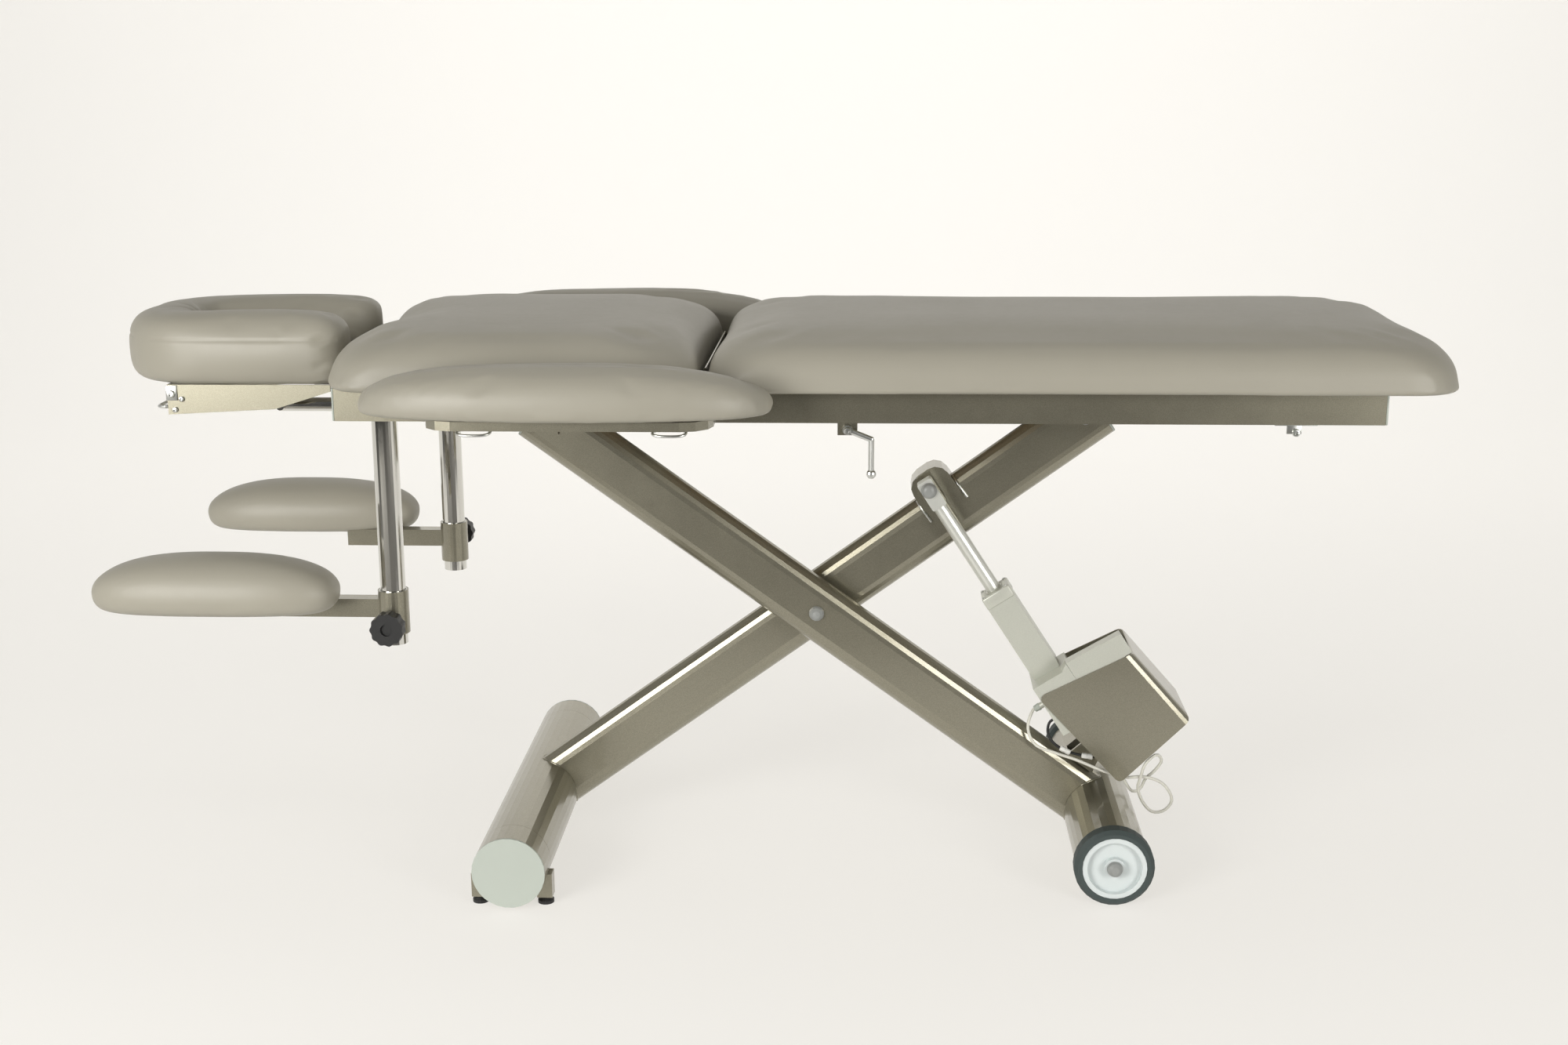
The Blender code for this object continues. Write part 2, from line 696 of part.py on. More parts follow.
def base_pieces():
    """Foot tube's fixed ends: core, collars with their legs, end caps and levelling feet."""
    base = carrier("base", FOOT_AXIS)
    end = BASE_HALF_Y - CAP_W - GAP
    core = pipe((FOOT_X, -end, AXLE_Z), (FOOT_X, end, AXLE_Z), CORE_R, CORE_R - CORE_WALL)
    piece("base_core_tube", core, PAINT, base)
    seam = FOOT_TUBE_Y + COLLAR_SEAM
    bore = CORE_R + GAP
    for label, side in (("near", -1), ("far", 1)):
        ring = pipe((FOOT_X, side * seam, AXLE_Z), (FOOT_X, side * end, AXLE_Z), TUBE_R, bore)
        collar = piece(f"end_collar_{label}", ring, PAINT, base)
        for step in (-1, 1):
            middle_x = FOOT_X + step * LEG_SPAN
            low = (middle_x - LEG_SIZE / 2, side * FOOT_Y - LEG_SIZE / 2, LEG_BOTTOM)
            high = (middle_x + LEG_SIZE / 2, side * FOOT_Y + LEG_SIZE / 2, AXLE_Z - LEG_SIZE / 2)
            weld(collar, block(low, high))
            foot_axis = Vector((middle_x, side * FOOT_Y, 0))
            neck = LEG_BOTTOM - GAP
            profile = [(0, 0), (FOOT_R, 0), (FOOT_R, FOOT_DISC_H), (FOOT_NECK_R, neck), (0, neck)]
            hold = carrier(f"foot_turn_{label}_{'left' if step < 0 else 'right'}", foot_axis)
            piece(f"levelling_foot_{label}_{'left' if step < 0 else 'right'}",
                  turned(profile, foot_axis, (0, 0, 1), SMALL_STEPS), BLACK, hold)
        cut(collar, rod((FOOT_X, side * (seam - OVERRUN), AXLE_Z),
                        (FOOT_X, side * (end + OVERRUN), AXLE_Z), bore, ROUND_STEPS))
        cap = rod((FOOT_X, side * (end + GAP), AXLE_Z), (FOOT_X, side * BASE_HALF_Y, AXLE_Z), TUBE_R,
                  ROUND_STEPS)
        piece(f"end_cap_{label}", cap, PALE_CAP, base)


def arm_body(name, axis_point, along, side, parent, holes):
    """Flat-oval arm, hollow, coped over its round tube and bored for its pins."""
    across = Vector((0, 1, 0))
    upright = across.cross(along)
    start = axis_point + along * (TUBE_R / 2) + across * (side * ARM_Y)
    length = LOWER_ARM + UPPER_ARM + ARM_TAIL - TUBE_R / 2
    skin = prism(oval(ARM_DEPTH, ARM_WIDTH), length, frame_of(start, upright, across))
    arm = piece(name, skin, PAINT, parent)
    inner = oval(ARM_DEPTH - 2 * ARM_WALL, ARM_WIDTH - 2 * ARM_WALL)
    hollow = frame_of(start - along * OVERRUN, upright, across)
    cut(arm, prism(inner, length + 2 * OVERRUN, hollow))
    reach = across * (BASE_HALF_Y / 2)
    cut(arm, rod(axis_point - reach, axis_point + reach, TUBE_R + GAP, ROUND_STEPS))
    for place, radius in holes:
        cut(arm, rod(place - reach, place + reach, radius, SMALL_STEPS))
    return arm


def lift_arm_pieces():
    """Rear arm with the foot tube that it turns with, its pivot bolt and the clevis bracket."""
    lift = carrier("lift_arm_body", FOOT_AXIS)
    tube = pipe((FOOT_X, -FOOT_TUBE_Y, AXLE_Z), (FOOT_X, FOOT_TUBE_Y, AXLE_Z), TUBE_R, TUBE_R - TUBE_WALL)
    piece("foot_tube", tube, PAINT, lift)
    holes = ((PIVOT, PIVOT_R + GAP), (ROLLER_AXIS, ROLLER_AXLE_R + RUNNING_GAP))
    arm_body("lift_arm", FOOT_AXIS, ALONG, 1, lift, holes)

    outside = ARM_SPACE / 2 + ARM_WIDTH + GAP
    flange = ARM_SPACE / 2 - GAP
    profile = dome(PIVOT_DOME_R, -PIVOT_DOME_H, -outside)[::-1]
    profile += [(PIVOT_R, -outside), (PIVOT_R, -flange), (PIVOT_FLANGE_R, -flange)]
    profile += [(PIVOT_FLANGE_R, flange), (PIVOT_R, flange), (PIVOT_R, outside)]
    profile += dome(PIVOT_DOME_R, PIVOT_DOME_H, outside)
    piece("pivot_bolt", turned(profile, PIVOT, (0, 1, 0), SMALL_STEPS), SILVER, lift)

    clevis_pieces(lift)


def clevis_pieces(lift):
    """Rounded hood over the lift arm; its near cheek stands up to the actuator's pin."""
    across = Vector((0, 1, 0))
    inner = ARM_SPACE / 2 - CLEVIS_ROOM
    outer = ARM_SPACE / 2 + ARM_WIDTH + CLEVIS_ROOM
    middle = PIVOT + ALONG * (CLEVIS_ALONG + CLEVIS_SHIFT)
    top = CLEVIS_OVER + CLEVIS_CROWN
    outline = [(CLEVIS_FOOT, -CLEVIS_HALF), (top, -CLEVIS_HALF), (top, CLEVIS_HALF),
               (CLEVIS_FOOT, CLEVIS_HALF)]
    frame = frame_of(middle + across * (inner - CLEVIS_PLATE), ABOVE, ALONG * -1)
    flip = 1 if frame.col[2].y > 0 else -1
    depth = outer - inner
    hood = prism(rounded(outline, CLEVIS_ROUND), flip * (depth + 2 * CLEVIS_PLATE), frame)
    bracket = piece("clevis_bracket", hood, PAINT, lift)
    half = CLEVIS_HALF - CLEVIS_PLATE
    room = [(CLEVIS_FOOT - CLEVIS_HALF, -half), (top - CLEVIS_PLATE, -half), (top - CLEVIS_PLATE, half),
            (CLEVIS_FOOT - CLEVIS_HALF, half)]
    inside = frame_of(middle + across * inner, ABOVE, ALONG * -1)
    cut(bracket, prism(rounded(room, CLEVIS_ROUND - CLEVIS_PLATE), flip * depth, inside))
    start = middle - ALONG * (CLEVIS_HALF + OVERRUN) + across * ARM_Y
    skin = frame_of(start, across.cross(ALONG), across)
    cut(bracket, prism(oval(ARM_DEPTH + 2 * GAP, ARM_WIDTH + 2 * GAP), 2 * (CLEVIS_HALF + OVERRUN), skin))


def roller_pieces():
    """Headed axle with the roller at the far side of the lift arm."""
    turn = carrier("roller_turn", ROLLER_AXIS)
    near = ARM_SPACE / 2 - GAP
    far_in = ARM_SPACE / 2 + ARM_WIDTH + ROLLER_SIDE_GAP
    far_out = far_in + ROLLER_W
    profile = [(0, near - ROLLER_HEAD_H), (ROLLER_HEAD_R, near - ROLLER_HEAD_H), (ROLLER_HEAD_R, near),
               (ROLLER_AXLE_R, near), (ROLLER_AXLE_R, far_in), (ROLLER_R, far_in), (ROLLER_R, far_out),
               (0, far_out)]
    piece("track_roller", turned(profile, ROLLER_AXIS, (0, 1, 0), SMALL_STEPS), ZINC, turn)


def wheel_arm_pieces():
    """Front arm with the wheel tube, the wheel axle and the actuator's rear mount."""
    arm = carrier("wheel_arm_body", PIVOT)
    tube = pipe((WHEEL_X, -TUBE_PLUG_Y, AXLE_Z), (WHEEL_X, TUBE_PLUG_Y, AXLE_Z), TUBE_R, TUBE_R - TUBE_WALL)
    piece("wheel_tube", tube, PAINT, arm)
    holes = ((PIVOT, PIVOT_R + GAP), (TOP_PIN, TOP_PIN_R + RUNNING_GAP))
    arm_body("wheel_arm", WHEEL_AXIS, B_ALONG, -1, arm, holes)

    plug_r = TUBE_R - TUBE_WALL - GAP
    plug = TUBE_PLUG_Y - PLUG_W
    out = WHEEL_OUT_Y + GAP
    profile = dome(AXLE_DOME_R, -AXLE_DOME_H, -out)[::-1]
    profile += [(AXLE_R, -out), (AXLE_R, -TUBE_PLUG_Y), (plug_r, -TUBE_PLUG_Y), (plug_r, -plug)]
    profile += [(AXLE_R, -plug), (AXLE_R, plug), (plug_r, plug), (plug_r, TUBE_PLUG_Y)]
    profile += [(AXLE_R, TUBE_PLUG_Y), (AXLE_R, out)] + dome(AXLE_DOME_R, AXLE_DOME_H, out)
    piece("wheel_axle", turned(profile, WHEEL_AXIS, (0, 1, 0), ROUND_STEPS), SILVER, arm)

    across = Vector((0, 1, 0))
    crest = ARM_DEPTH / 2 + GAP
    foot = PIVOT - B_ALONG * REAR_PIN_ALONG - across * ARM_Y
    frame = frame_of(foot, B_ALONG, B_ABOVE)
    top = REAR_PIN_OVER + MOUNT_CROWN
    cheek = [(-MOUNT_HALF, crest), (MOUNT_HALF, crest), (MOUNT_CROWN, top), (-MOUNT_CROWN, top)]
    inner = REAR_EYE_Y / 2 + RUNNING_GAP
    low = frame @ Matrix.Translation((0, 0, -inner - MOUNT_PLATE))
    mount = piece("actuator_mount", prism(cheek, MOUNT_PLATE, low), PAINT, arm)
    weld(mount, prism(cheek, MOUNT_PLATE, frame @ Matrix.Translation((0, 0, inner))))
    sole = [(-MOUNT_HALF, crest), (MOUNT_HALF, crest), (MOUNT_HALF, crest + MOUNT_PLATE),
            (-MOUNT_HALF, crest + MOUNT_PLATE)]
    weld(mount, prism(sole, 2 * (inner + MOUNT_PLATE), low))
    reach = across * (inner + MOUNT_PLATE / 2)
    centre = REAR_PIN - across * ARM_Y
    weld(mount, rod(centre - reach, centre + reach, MOUNT_PIN_R))


def wheel_pieces():
    """Two wheels, each a dished hub in a solid tyre."""
    for label, side in (("near", -1), ("far", 1)):
        turn = carrier(f"wheel_turn_{label}", WHEEL_AXIS)
        middle = Vector((WHEEL_X, side * (WHEEL_OUT_Y - TYRE_W / 2), AXLE_Z))
        rim, web = HUB_RIM_W / 2, HUB_WEB_W / 2
        bore = AXLE_R + RUNNING_GAP
        profile = [(bore, -rim), (HUB_BOSS_R, -rim), (HUB_BOSS_R, -web), (HUB_RIM_R, -web), (HUB_RIM_R, -rim),
                   (HUB_R, -rim), (HUB_R, rim), (HUB_RIM_R, rim), (HUB_RIM_R, web), (HUB_BOSS_R, web),
                   (HUB_BOSS_R, rim), (bore, rim)]
        piece(f"wheel_hub_{label}", turned(profile, middle, (0, 1, 0), closed=True), HUB, turn)
        seat, half = HUB_R + GAP, TYRE_W / 2
        tyre = [(seat, -half), (WHEEL_R - TYRE_ROUND, -half), (WHEEL_R, TYRE_ROUND - half),
                (WHEEL_R, half - TYRE_ROUND), (WHEEL_R - TYRE_ROUND, half), (seat, half)]
        piece(f"wheel_tyre_{label}", turned(tyre, middle, (0, 1, 0), closed=True), TYRE, turn)


def actuator_frame(across_y):
    """Frame at the rear pin: first axis across the actuator, second along it."""
    return frame_of(REAR_PIN + Vector((0, across_y, 0)), ROD_SIDE, ROD_AXIS)


def panel(outline, y_low, y_high):
    """Flat outline in the actuator's own directions, carried across the table."""
    frame = actuator_frame(-ARM_Y)
    facing = 1 if frame.col[2].y > 0 else -1
    return prism(outline, facing * (y_high - y_low), frame @ Matrix.Translation((0, 0, facing * y_low)))


def slab(n_low, n_high, a_low, a_high, y_low, y_high, rounding=0.0):
    """Block in the actuator's own directions."""
    outline = [(n_low, a_low), (n_high, a_low), (n_high, a_high), (n_low, a_high)]
    return panel(rounded(outline, rounding) if rounding else outline, y_low, y_high)


def actuator_pieces():
    """Housing with its gearbox, the motor, the sheet cover, the gland and the plug."""
    hold = carrier("actuator_body", REAR_PIN)
    half_n, half_y = HOUSING_N / 2, HOUSING_Y / 2
    housing = piece("actuator_housing",
                    slab(-half_n, half_n, HOUSING_BOTTOM, HOUSING_TOP, -half_y, half_y, ACTUATOR_ROUND),
                    SILVER, hold)
    weld(housing, slab(-GEARBOX_LEFT_N, GEARBOX_RIGHT_N, GEARBOX_BOTTOM, HOUSING_BOTTOM + GEAR_LAP / 2,
                       -MOTOR_FRONT, GEARBOX_BACK))
    ear = [(GEARBOX_EAR_N, HOUSING_BOTTOM - GEAR_LAP), (GEARBOX_RIGHT_N - GAP, HOUSING_BOTTOM - GEAR_LAP),
           (GEARBOX_RIGHT_N - GAP, GEARBOX_EAR_TOP), (GEARBOX_EAR_N, HOUSING_BOTTOM + GEAR_LAP / 2)]
    weld(housing, panel(ear, GAP - MOTOR_FRONT, MOTOR_FACE_DEEP - MOTOR_FRONT))
    eye_n, eye_y = REAR_EYE_N / 2, REAR_EYE_Y / 2
    weld(housing, slab(-eye_n, eye_n, -REAR_EYE_R, GEARBOX_BOTTOM + GEAR_LAP, -eye_y, eye_y))
    middle = REAR_PIN - Vector((0, ARM_Y, 0))
    reach = Vector((0, REAR_EYE_Y, 0))
    weld(housing, rod(GLAND_TIP, GLAND_TIP + ROD_SIDE * (GLAND_OUT + GLAND_R), GLAND_R, LEVER_STEPS))
    cut(housing, rod(middle - reach, middle + reach, MOUNT_PIN_R + RUNNING_GAP))
    cut(housing, rod(middle + ROD_AXIS * BORE_BOTTOM, middle + ROD_AXIS * (HOUSING_TOP + OVERRUN),
                     ROD_R + RUNNING_GAP))

    start_n, end_n = GEARBOX_RIGHT_N + GAP, COVER_CORNERS[1][0] - MOTOR_SIDE_GAP
    motor = piece("motor_case", slab(start_n, end_n, -MOTOR_LOW, MOTOR_HIGH, -MOTOR_FRONT, MOTOR_BACK,
                                     MOTOR_ROUND), SILVER, hold)
    wide_n = COVER_CORNERS[1][0] - MOTOR_FACE_EDGE
    face = [(start_n, MOTOR_HIGH - MOTOR_FACE_DEEP), (end_n, MOTOR_HIGH - MOTOR_FACE_DEEP),
            (end_n, MOTOR_FACE_STEP), (wide_n, MOTOR_FACE_STEP), (wide_n, MOTOR_FACE_RIGHT),
            (start_n, MOTOR_FACE_LEFT)]
    weld(motor, panel(face, -MOTOR_FRONT, MOTOR_FACE_DEEP - MOTOR_FRONT))
    frame = actuator_frame(-ARM_Y)
    facing = 1 if frame.col[2].y > 0 else -1
    cover_piece(hold, frame, facing)
    return hold


def cover_piece(hold, frame, facing):
    """Sheet cover bent round one side of the motor, open at its other sides."""
    depth = COVER_FRONT + COVER_BACK
    shell = frame @ Matrix.Translation((0, 0, -facing * COVER_FRONT))
    outline = rounded(COVER_CORNERS[::-1], COVER_ROUND)
    cover = piece("motor_cover", prism(outline, facing * depth, shell), PAINT, hold)
    top, low = Vector(COVER_CORNERS[1]), Vector(COVER_CORNERS[2])
    along = (low - top).normalized()
    inward = Vector((along.y, -along.x))
    if inward.x > 0:
        inward = -inward
    across = Vector((0, 1, 0))
    first = ROD_SIDE * inward.x + ROD_AXIS * inward.y
    place = REAR_PIN - across * ARM_Y + ROD_SIDE * top.x + ROD_AXIS * top.y
    bend = frame_of(place - first.cross(across) * COVER_CUT, first, across)
    skin = [(0, -COVER_FRONT), (COVER_CUT, -COVER_FRONT), (COVER_CUT, COVER_BACK), (0, COVER_BACK)]
    combine(cover, prism(rounded(skin, COVER_BEND), 2 * COVER_CUT, bend), "INTERSECT")
    sheet = COVER_SHEET
    room = [(sheet, sheet - COVER_FRONT), (COVER_CUT + OVERRUN, sheet - COVER_FRONT),
            (COVER_CUT + OVERRUN, COVER_BACK - sheet), (sheet, COVER_BACK - sheet)]
    cut(cover, prism(rounded(room, COVER_BEND - sheet), 2 * COVER_CUT, bend))


def rod_pieces():
    """Moving rod with its eye and the stub pin that meets the clevis bracket."""
    slide = carrier("actuator_rod_body", CLEVIS_PIN)
    middle = REAR_PIN - Vector((0, ARM_Y, 0))
    bar = rod(middle + ROD_AXIS * ROD_BOTTOM, middle + ROD_AXIS * (ROD_SPAN - EYE_BACK / 2), ROD_R)
    item = piece("actuator_rod", bar, SILVER, slide)
    weld(item, slab(-EYE_HALF, EYE_HALF, ROD_SPAN - EYE_BACK, ROD_SPAN + EYE_FRONT, -EYE_HALF, EYE_HALF,
                    EYE_ROUND))
    near = -ARM_Y - EYE_HALF
    cheek = ARM_SPACE / 2 - CLEVIS_ROOM - CLEVIS_PLATE - GAP
    profile = dome(CLEVIS_DOME_R, -CLEVIS_DOME_H, near)[::-1]
    profile += [(CLEVIS_PIN_R, near), (CLEVIS_PIN_R, cheek), (0, cheek)]
    weld(item, turned(profile, CLEVIS_PIN, (0, 1, 0), SMALL_STEPS))


def smooth_path(points, spacing):
    """Evenly spaced points on a smooth curve through the given ones."""
    spots = [Vector(point) for point in points]
    spots = [spots[0] * 2 - spots[1]] + spots + [spots[-1] * 2 - spots[-2]]
    fine = []
    for p0, p1, p2, p3 in zip(spots, spots[1:], spots[2:], spots[3:]):
        for step in range(CORD_FINE_STEPS):
            t = step / CORD_FINE_STEPS
            fine.append(0.5 * (2 * p1 + (p2 - p0) * t + (2 * p0 - 5 * p1 + 4 * p2 - p3) * t * t
                               + (3 * p1 - p0 - 3 * p2 + p3) * t ** 3))
    fine.append(spots[-2])
    path, last = [fine[0]], fine[0]
    for spot in fine:
        if (spot - last).length >= spacing:
            path.append(spot)
            last = spot
    if (fine[-1] - path[-1]).length > MERGE:
        path[-1] = fine[-1]
    return path


def cord_pieces(hold):
    """Lead from the gland round behind the cover to its strain relief and plug."""
    path = smooth_path(CORD_ROUTE, CORD_D * CORD_STEP_SHARE)
    curve = bpy.data.curves.new("control_cord", "CURVE")
    curve.dimensions = "3D"
    curve.bevel_depth = CORD_D / 2
    curve.bevel_resolution = CORD_ROUND_STEPS
    curve.use_fill_caps = True
    spline = curve.splines.new("POLY")
    spline.points.add(len(path) - 1)
    for point, spot in zip(spline.points, path):
        point.co = (*(spot - hold.location), 1.0)
    curve.materials.append(CORD)
    item = bpy.data.objects.new("control_cord", curve)
    bpy.context.collection.objects.link(item)
    item.parent = hold
    start, axis = path[-1], (path[-1] - path[-2]).normalized()
    profile = [(0, GAP), (CORD_D * RELIEF_SHARE, GAP), (PLUG_R * RELIEF_SHARE, RELIEF_L),
               (PLUG_R, RELIEF_L), (PLUG_R, RELIEF_L + PLUG_L), (0, RELIEF_L + PLUG_L)]
    piece("cord_plug", turned(profile, start, axis, LEVER_STEPS), PALE_CAP, hold)


def rail_pieces(top):
    """Two long rails, open rectangular tubes, the near one with the release lever's plate."""
    low_x = LEVER_AXIS.x - LEVER_PLATE_L / 2
    plate = block((low_x, LEVER_Y, RAIL_Z - LEVER_PLATE_H - LEVER_R * 2),
                  (low_x + LEVER_PLATE_L, LEVER_Y + LEVER_PLATE, RAIL_Z + RAIL_WALL / 2))
    for label, side in (("near", -1), ("far", 1)):
        edge, inner = side * RAIL_OUT_Y, side * RAIL_IN_Y
        low_y, high_y = min(edge, inner), max(edge, inner)
        left, right = PIVOT_X - RAIL_HEAD_REACH, PIVOT_X + RAIL_FOOT_REACH
        rail = piece(f"rail_{label}", block((left, low_y, RAIL_Z), (right, high_y, RAIL_TOP)), PAINT, top)
        if side < 0:
            weld(rail, plate)
        cut(rail, block((left - OVERRUN, low_y + RAIL_WALL, RAIL_Z + RAIL_WALL),
                        (right + OVERRUN, high_y - RAIL_WALL, RAIL_TOP - RAIL_WALL)))


def cross_bar(reach):
    """Cross tube between the rails, open at both ends."""
    half = RAIL_IN_Y - GAP
    middle = PIVOT_X + reach
    return block((middle - CROSS_W / 2, -half, CROSS_Z), (middle + CROSS_W / 2, half, RAIL_TOP))


def cross_hollow(reach):
    middle = PIVOT_X + reach
    half_w = CROSS_W / 2 - CROSS_WALL
    return block((middle - half_w, -RAIL_OUT_Y, CROSS_Z + CROSS_WALL),
                 (middle + half_w, RAIL_OUT_Y, RAIL_TOP - CROSS_WALL))


def cross_pieces(top):
    """Cross bars: head bar with sleeves, pin bar with ears, hinge bar with its strip, roller track."""
    head = piece("cross_head", cross_bar(-HEAD_CROSS_REACH), PAINT, top)
    middle = PIVOT_X - HEAD_CROSS_REACH
    for side in (-1, 1):
        low = (middle - HEAD_SLEEVE_L / 2, side * HEAD_TUBE_Y - HEAD_SLEEVE_HALF,
               HEAD_TUBE_Z - HEAD_SLEEVE_HALF)
        high = (middle + HEAD_SLEEVE_L / 2, side * HEAD_TUBE_Y + HEAD_SLEEVE_HALF, CROSS_Z + CROSS_WALL)
        weld(head, block(low, high))
    cut(head, cross_hollow(-HEAD_CROSS_REACH))
    for side in (-1, 1):
        reach = HEAD_SLEEVE_L / 2 + OVERRUN
        ends = [(middle + step * reach, side * HEAD_TUBE_Y, HEAD_TUBE_Z) for step in (-1, 1)]
        cut(head, rod(*ends, HEAD_TUBE_R + RUNNING_GAP))

    pin_bar = piece("cross_pin", cross_bar(-TOP_REACH), PAINT, top)
    inner = -ARM_SPACE / 2 + RUNNING_GAP
    outer = -ARM_SPACE / 2 - ARM_WIDTH - RUNNING_GAP
    for low_y in (inner, outer - PIN_EAR):
        weld(pin_bar, block((TOP_PIN.x - PIN_EAR_HALF, low_y, TOP_PIN.z - PIN_EAR_HALF),
                            (TOP_PIN.x + PIN_EAR_HALF, low_y + PIN_EAR, CROSS_Z + CROSS_WALL)))
    weld(pin_bar, rod((TOP_PIN.x, outer - PIN_EAR / 2, TOP_PIN.z),
                      (TOP_PIN.x, inner + PIN_EAR / 2, TOP_PIN.z), TOP_PIN_R))
    cut(pin_bar, cross_hollow(-TOP_REACH))

    hinge_bar = piece("cross_hinge", cross_bar(-HINGE_REACH), PAINT, top)
    half = RAIL_IN_Y - GAP
    weld(hinge_bar, block((HINGE_X - HINGE_LEAF / 2, -half, RAIL_TOP - CROSS_WALL / 2),
                          (HINGE_X + HINGE_LEAF / 2, half, HINGE_Z)))
    weld(hinge_bar, rod((HINGE_X, -half, HINGE_Z), (HINGE_X, half, HINGE_Z), HINGE_PIN_R))
    cut(hinge_bar, cross_hollow(-HINGE_REACH))

    track_piece(top)


def track_piece(top):
    """Channel for the roller in one piece with the two cross bars that it hangs from."""
    far = ARM_SPACE / 2 + ARM_WIDTH + ROLLER_SIDE_GAP + ROLLER_W + TRACK_PLAY
    low = TOP_PIN_Z - ROLLER_R - TRACK_PLAY
    high = TOP_PIN_Z + ROLLER_R + TRACK_PLAY
    roof = CROSS_Z + CROSS_WALL / 2
    plate = TRACK_PLATE
    lip, skin = far - ROLLER_W, far + plate
    outline = [(lip, low - plate), (skin, low - plate), (skin, roof), (lip, roof), (lip, roof - plate),
               (far, roof - plate), (far, high + plate), (lip, high + plate), (lip, high), (far, high),
               (far, low), (lip, low)]
    start = PIVOT_X + TRACK_CROSS_REACH + TRACK_LAP
    length = FOOT_CROSS_REACH - TRACK_CROSS_REACH - 2 * TRACK_LAP
    frame = frame_of((start, 0, 0), (0, 1, 0), (0, 0, 1))
    track = piece("roller_track", prism(outline, length, frame), PAINT, top)
    weld(track, cross_bar(FOOT_CROSS_REACH))
    weld(track, cross_bar(TRACK_CROSS_REACH))
    low_y = SPRING_Y + SPRING_EYE_W / 2 + RUNNING_GAP
    weld(track, block((SPRING_BASE.x - SPRING_EYE_R, low_y, SPRING_BASE.z - SPRING_EYE_R),
                      (PIVOT_X + TRACK_CROSS_REACH, low_y + SPRING_LUG, CROSS_Z + CROSS_WALL)))
    weld(track, rod((SPRING_BASE.x, SPRING_Y - SPRING_EYE_W / 2, SPRING_BASE.z),
                    (SPRING_BASE.x, low_y + SPRING_LUG / 2, SPRING_BASE.z), SPRING_PIN_R))
    cut(track, cross_hollow(FOOT_CROSS_REACH))
    cut(track, cross_hollow(TRACK_CROSS_REACH))


def post_pieces(top):
    """Chrome posts that hang from the rails and carry the armrests."""
    for label, side in (("near", -1), ("far", 1)):
        place = Vector((PIVOT_X - POST_REACH, side * RAIL_Y, 0))
        foot, head = place + Vector((0, 0, POST_BOTTOM)), place + Vector((0, 0, RAIL_Z - GAP))
        piece(f"post_{label}", pipe(foot, head, POST_R, POST_R - POST_WALL), CHROME, top)


def top_section(name, board_name, left, right, head_draw, parent):
    """One cushion of the top with the board set into its underside."""
    middle = ((left + right) / 2, 0, DECK_Z)
    half_x = (right - left) / 2
    bm = pillow(middle, half_x, TOP_HALF_Y, TOP_THICK, TOP_CORNERS, (TOP_EDGE, TOP_ROLL, TOP_FOOT_EDGE),
                TOP_CROWN, (TOP_DRAW, head_draw, TOP_DRAW, TOP_DRAW))
    cushion = piece(name, bm, VINYL, parent)
    low = Vector((left + BOARD_INSET, BOARD_INSET - TOP_HALF_Y, DECK_Z))
    high = Vector((right - BOARD_INSET, TOP_HALF_Y - BOARD_INSET, DECK_Z + BOARD_H))
    piece(board_name, block(low, high), WOOD, parent)
    room = Vector((GAP, GAP, GAP))
    cut(cushion, block(low - room - Vector((0, 0, OVERRUN)), high + room))


def top_pieces():
    """Fixed part of the top: frame, posts and torso section."""
    top = carrier("top_frame_body", TOP_PIN)
    rail_pieces(top)
    cross_pieces(top)
    post_pieces(top)
    edge = HINGE_X - SECTION_GAP / 2
    top_section("torso_cushion", "torso_board", PIVOT_X - TORSO_HEAD_REACH, edge, TOP_HEAD_DRAW, top)
    return top


def leg_section_pieces():
    """Long section that lifts at its foot end."""
    hinge = carrier("leg_section_body", (HINGE_X, 0, HINGE_Z))
    top_section("leg_cushion", "leg_board", HINGE_X + SECTION_GAP / 2, PIVOT_X + LEG_FOOT_REACH, TOP_DRAW,
                hinge)
    return hinge


def spring_pieces(leg):
    """Gas spring under the leg section, and the lug that it pushes."""
    hold = carrier("gas_cylinder_body", SPRING_BASE)
    across = Vector((0, SPRING_EYE_W / 2, 0))
    along = (SPRING_EYE - SPRING_BASE).normalized()
    tube_start = SPRING_BASE + along * SPRING_NECK
    tube_end = tube_start + along * SPRING_TUBE_L
    tube = piece("gas_cylinder", rod(tube_start, tube_end, SPRING_R), BLACK, hold)
    weld(tube, rod(SPRING_BASE - across, SPRING_BASE + across, SPRING_EYE_R))
    weld(tube, rod(SPRING_BASE + along * SPRING_LAP, tube_start + along * SPRING_LAP, SPRING_ROD_R))
    cut(tube, rod(tube_end - along * SPRING_BORE, tube_end + along * OVERRUN, SPRING_ROD_R + RUNNING_GAP))
    reach = Vector((0, SPRING_EYE_W, 0))
    cut(tube, rod(SPRING_BASE - reach, SPRING_BASE + reach, SPRING_PIN_R + RUNNING_GAP))
    slide = carrier("gas_rod_body", SPRING_EYE)
    bar = piece("gas_rod", rod(tube_end - along * SPRING_ROD_IN, SPRING_EYE, SPRING_ROD_R), CHROME, slide)
    weld(bar, rod(SPRING_EYE - across, SPRING_EYE + across, SPRING_EYE_R))

    low_y = SPRING_Y + SPRING_EYE_W / 2 + RUNNING_GAP
    lug = block((SPRING_EYE.x - SPRING_EYE_R, low_y, SPRING_EYE.z - SPRING_EYE_R),
                (SPRING_EYE.x + SPRING_LEG_LUG, low_y + SPRING_LUG, DECK_Z - GAP))
    piece("spring_lug_leg", lug, PAINT, leg)


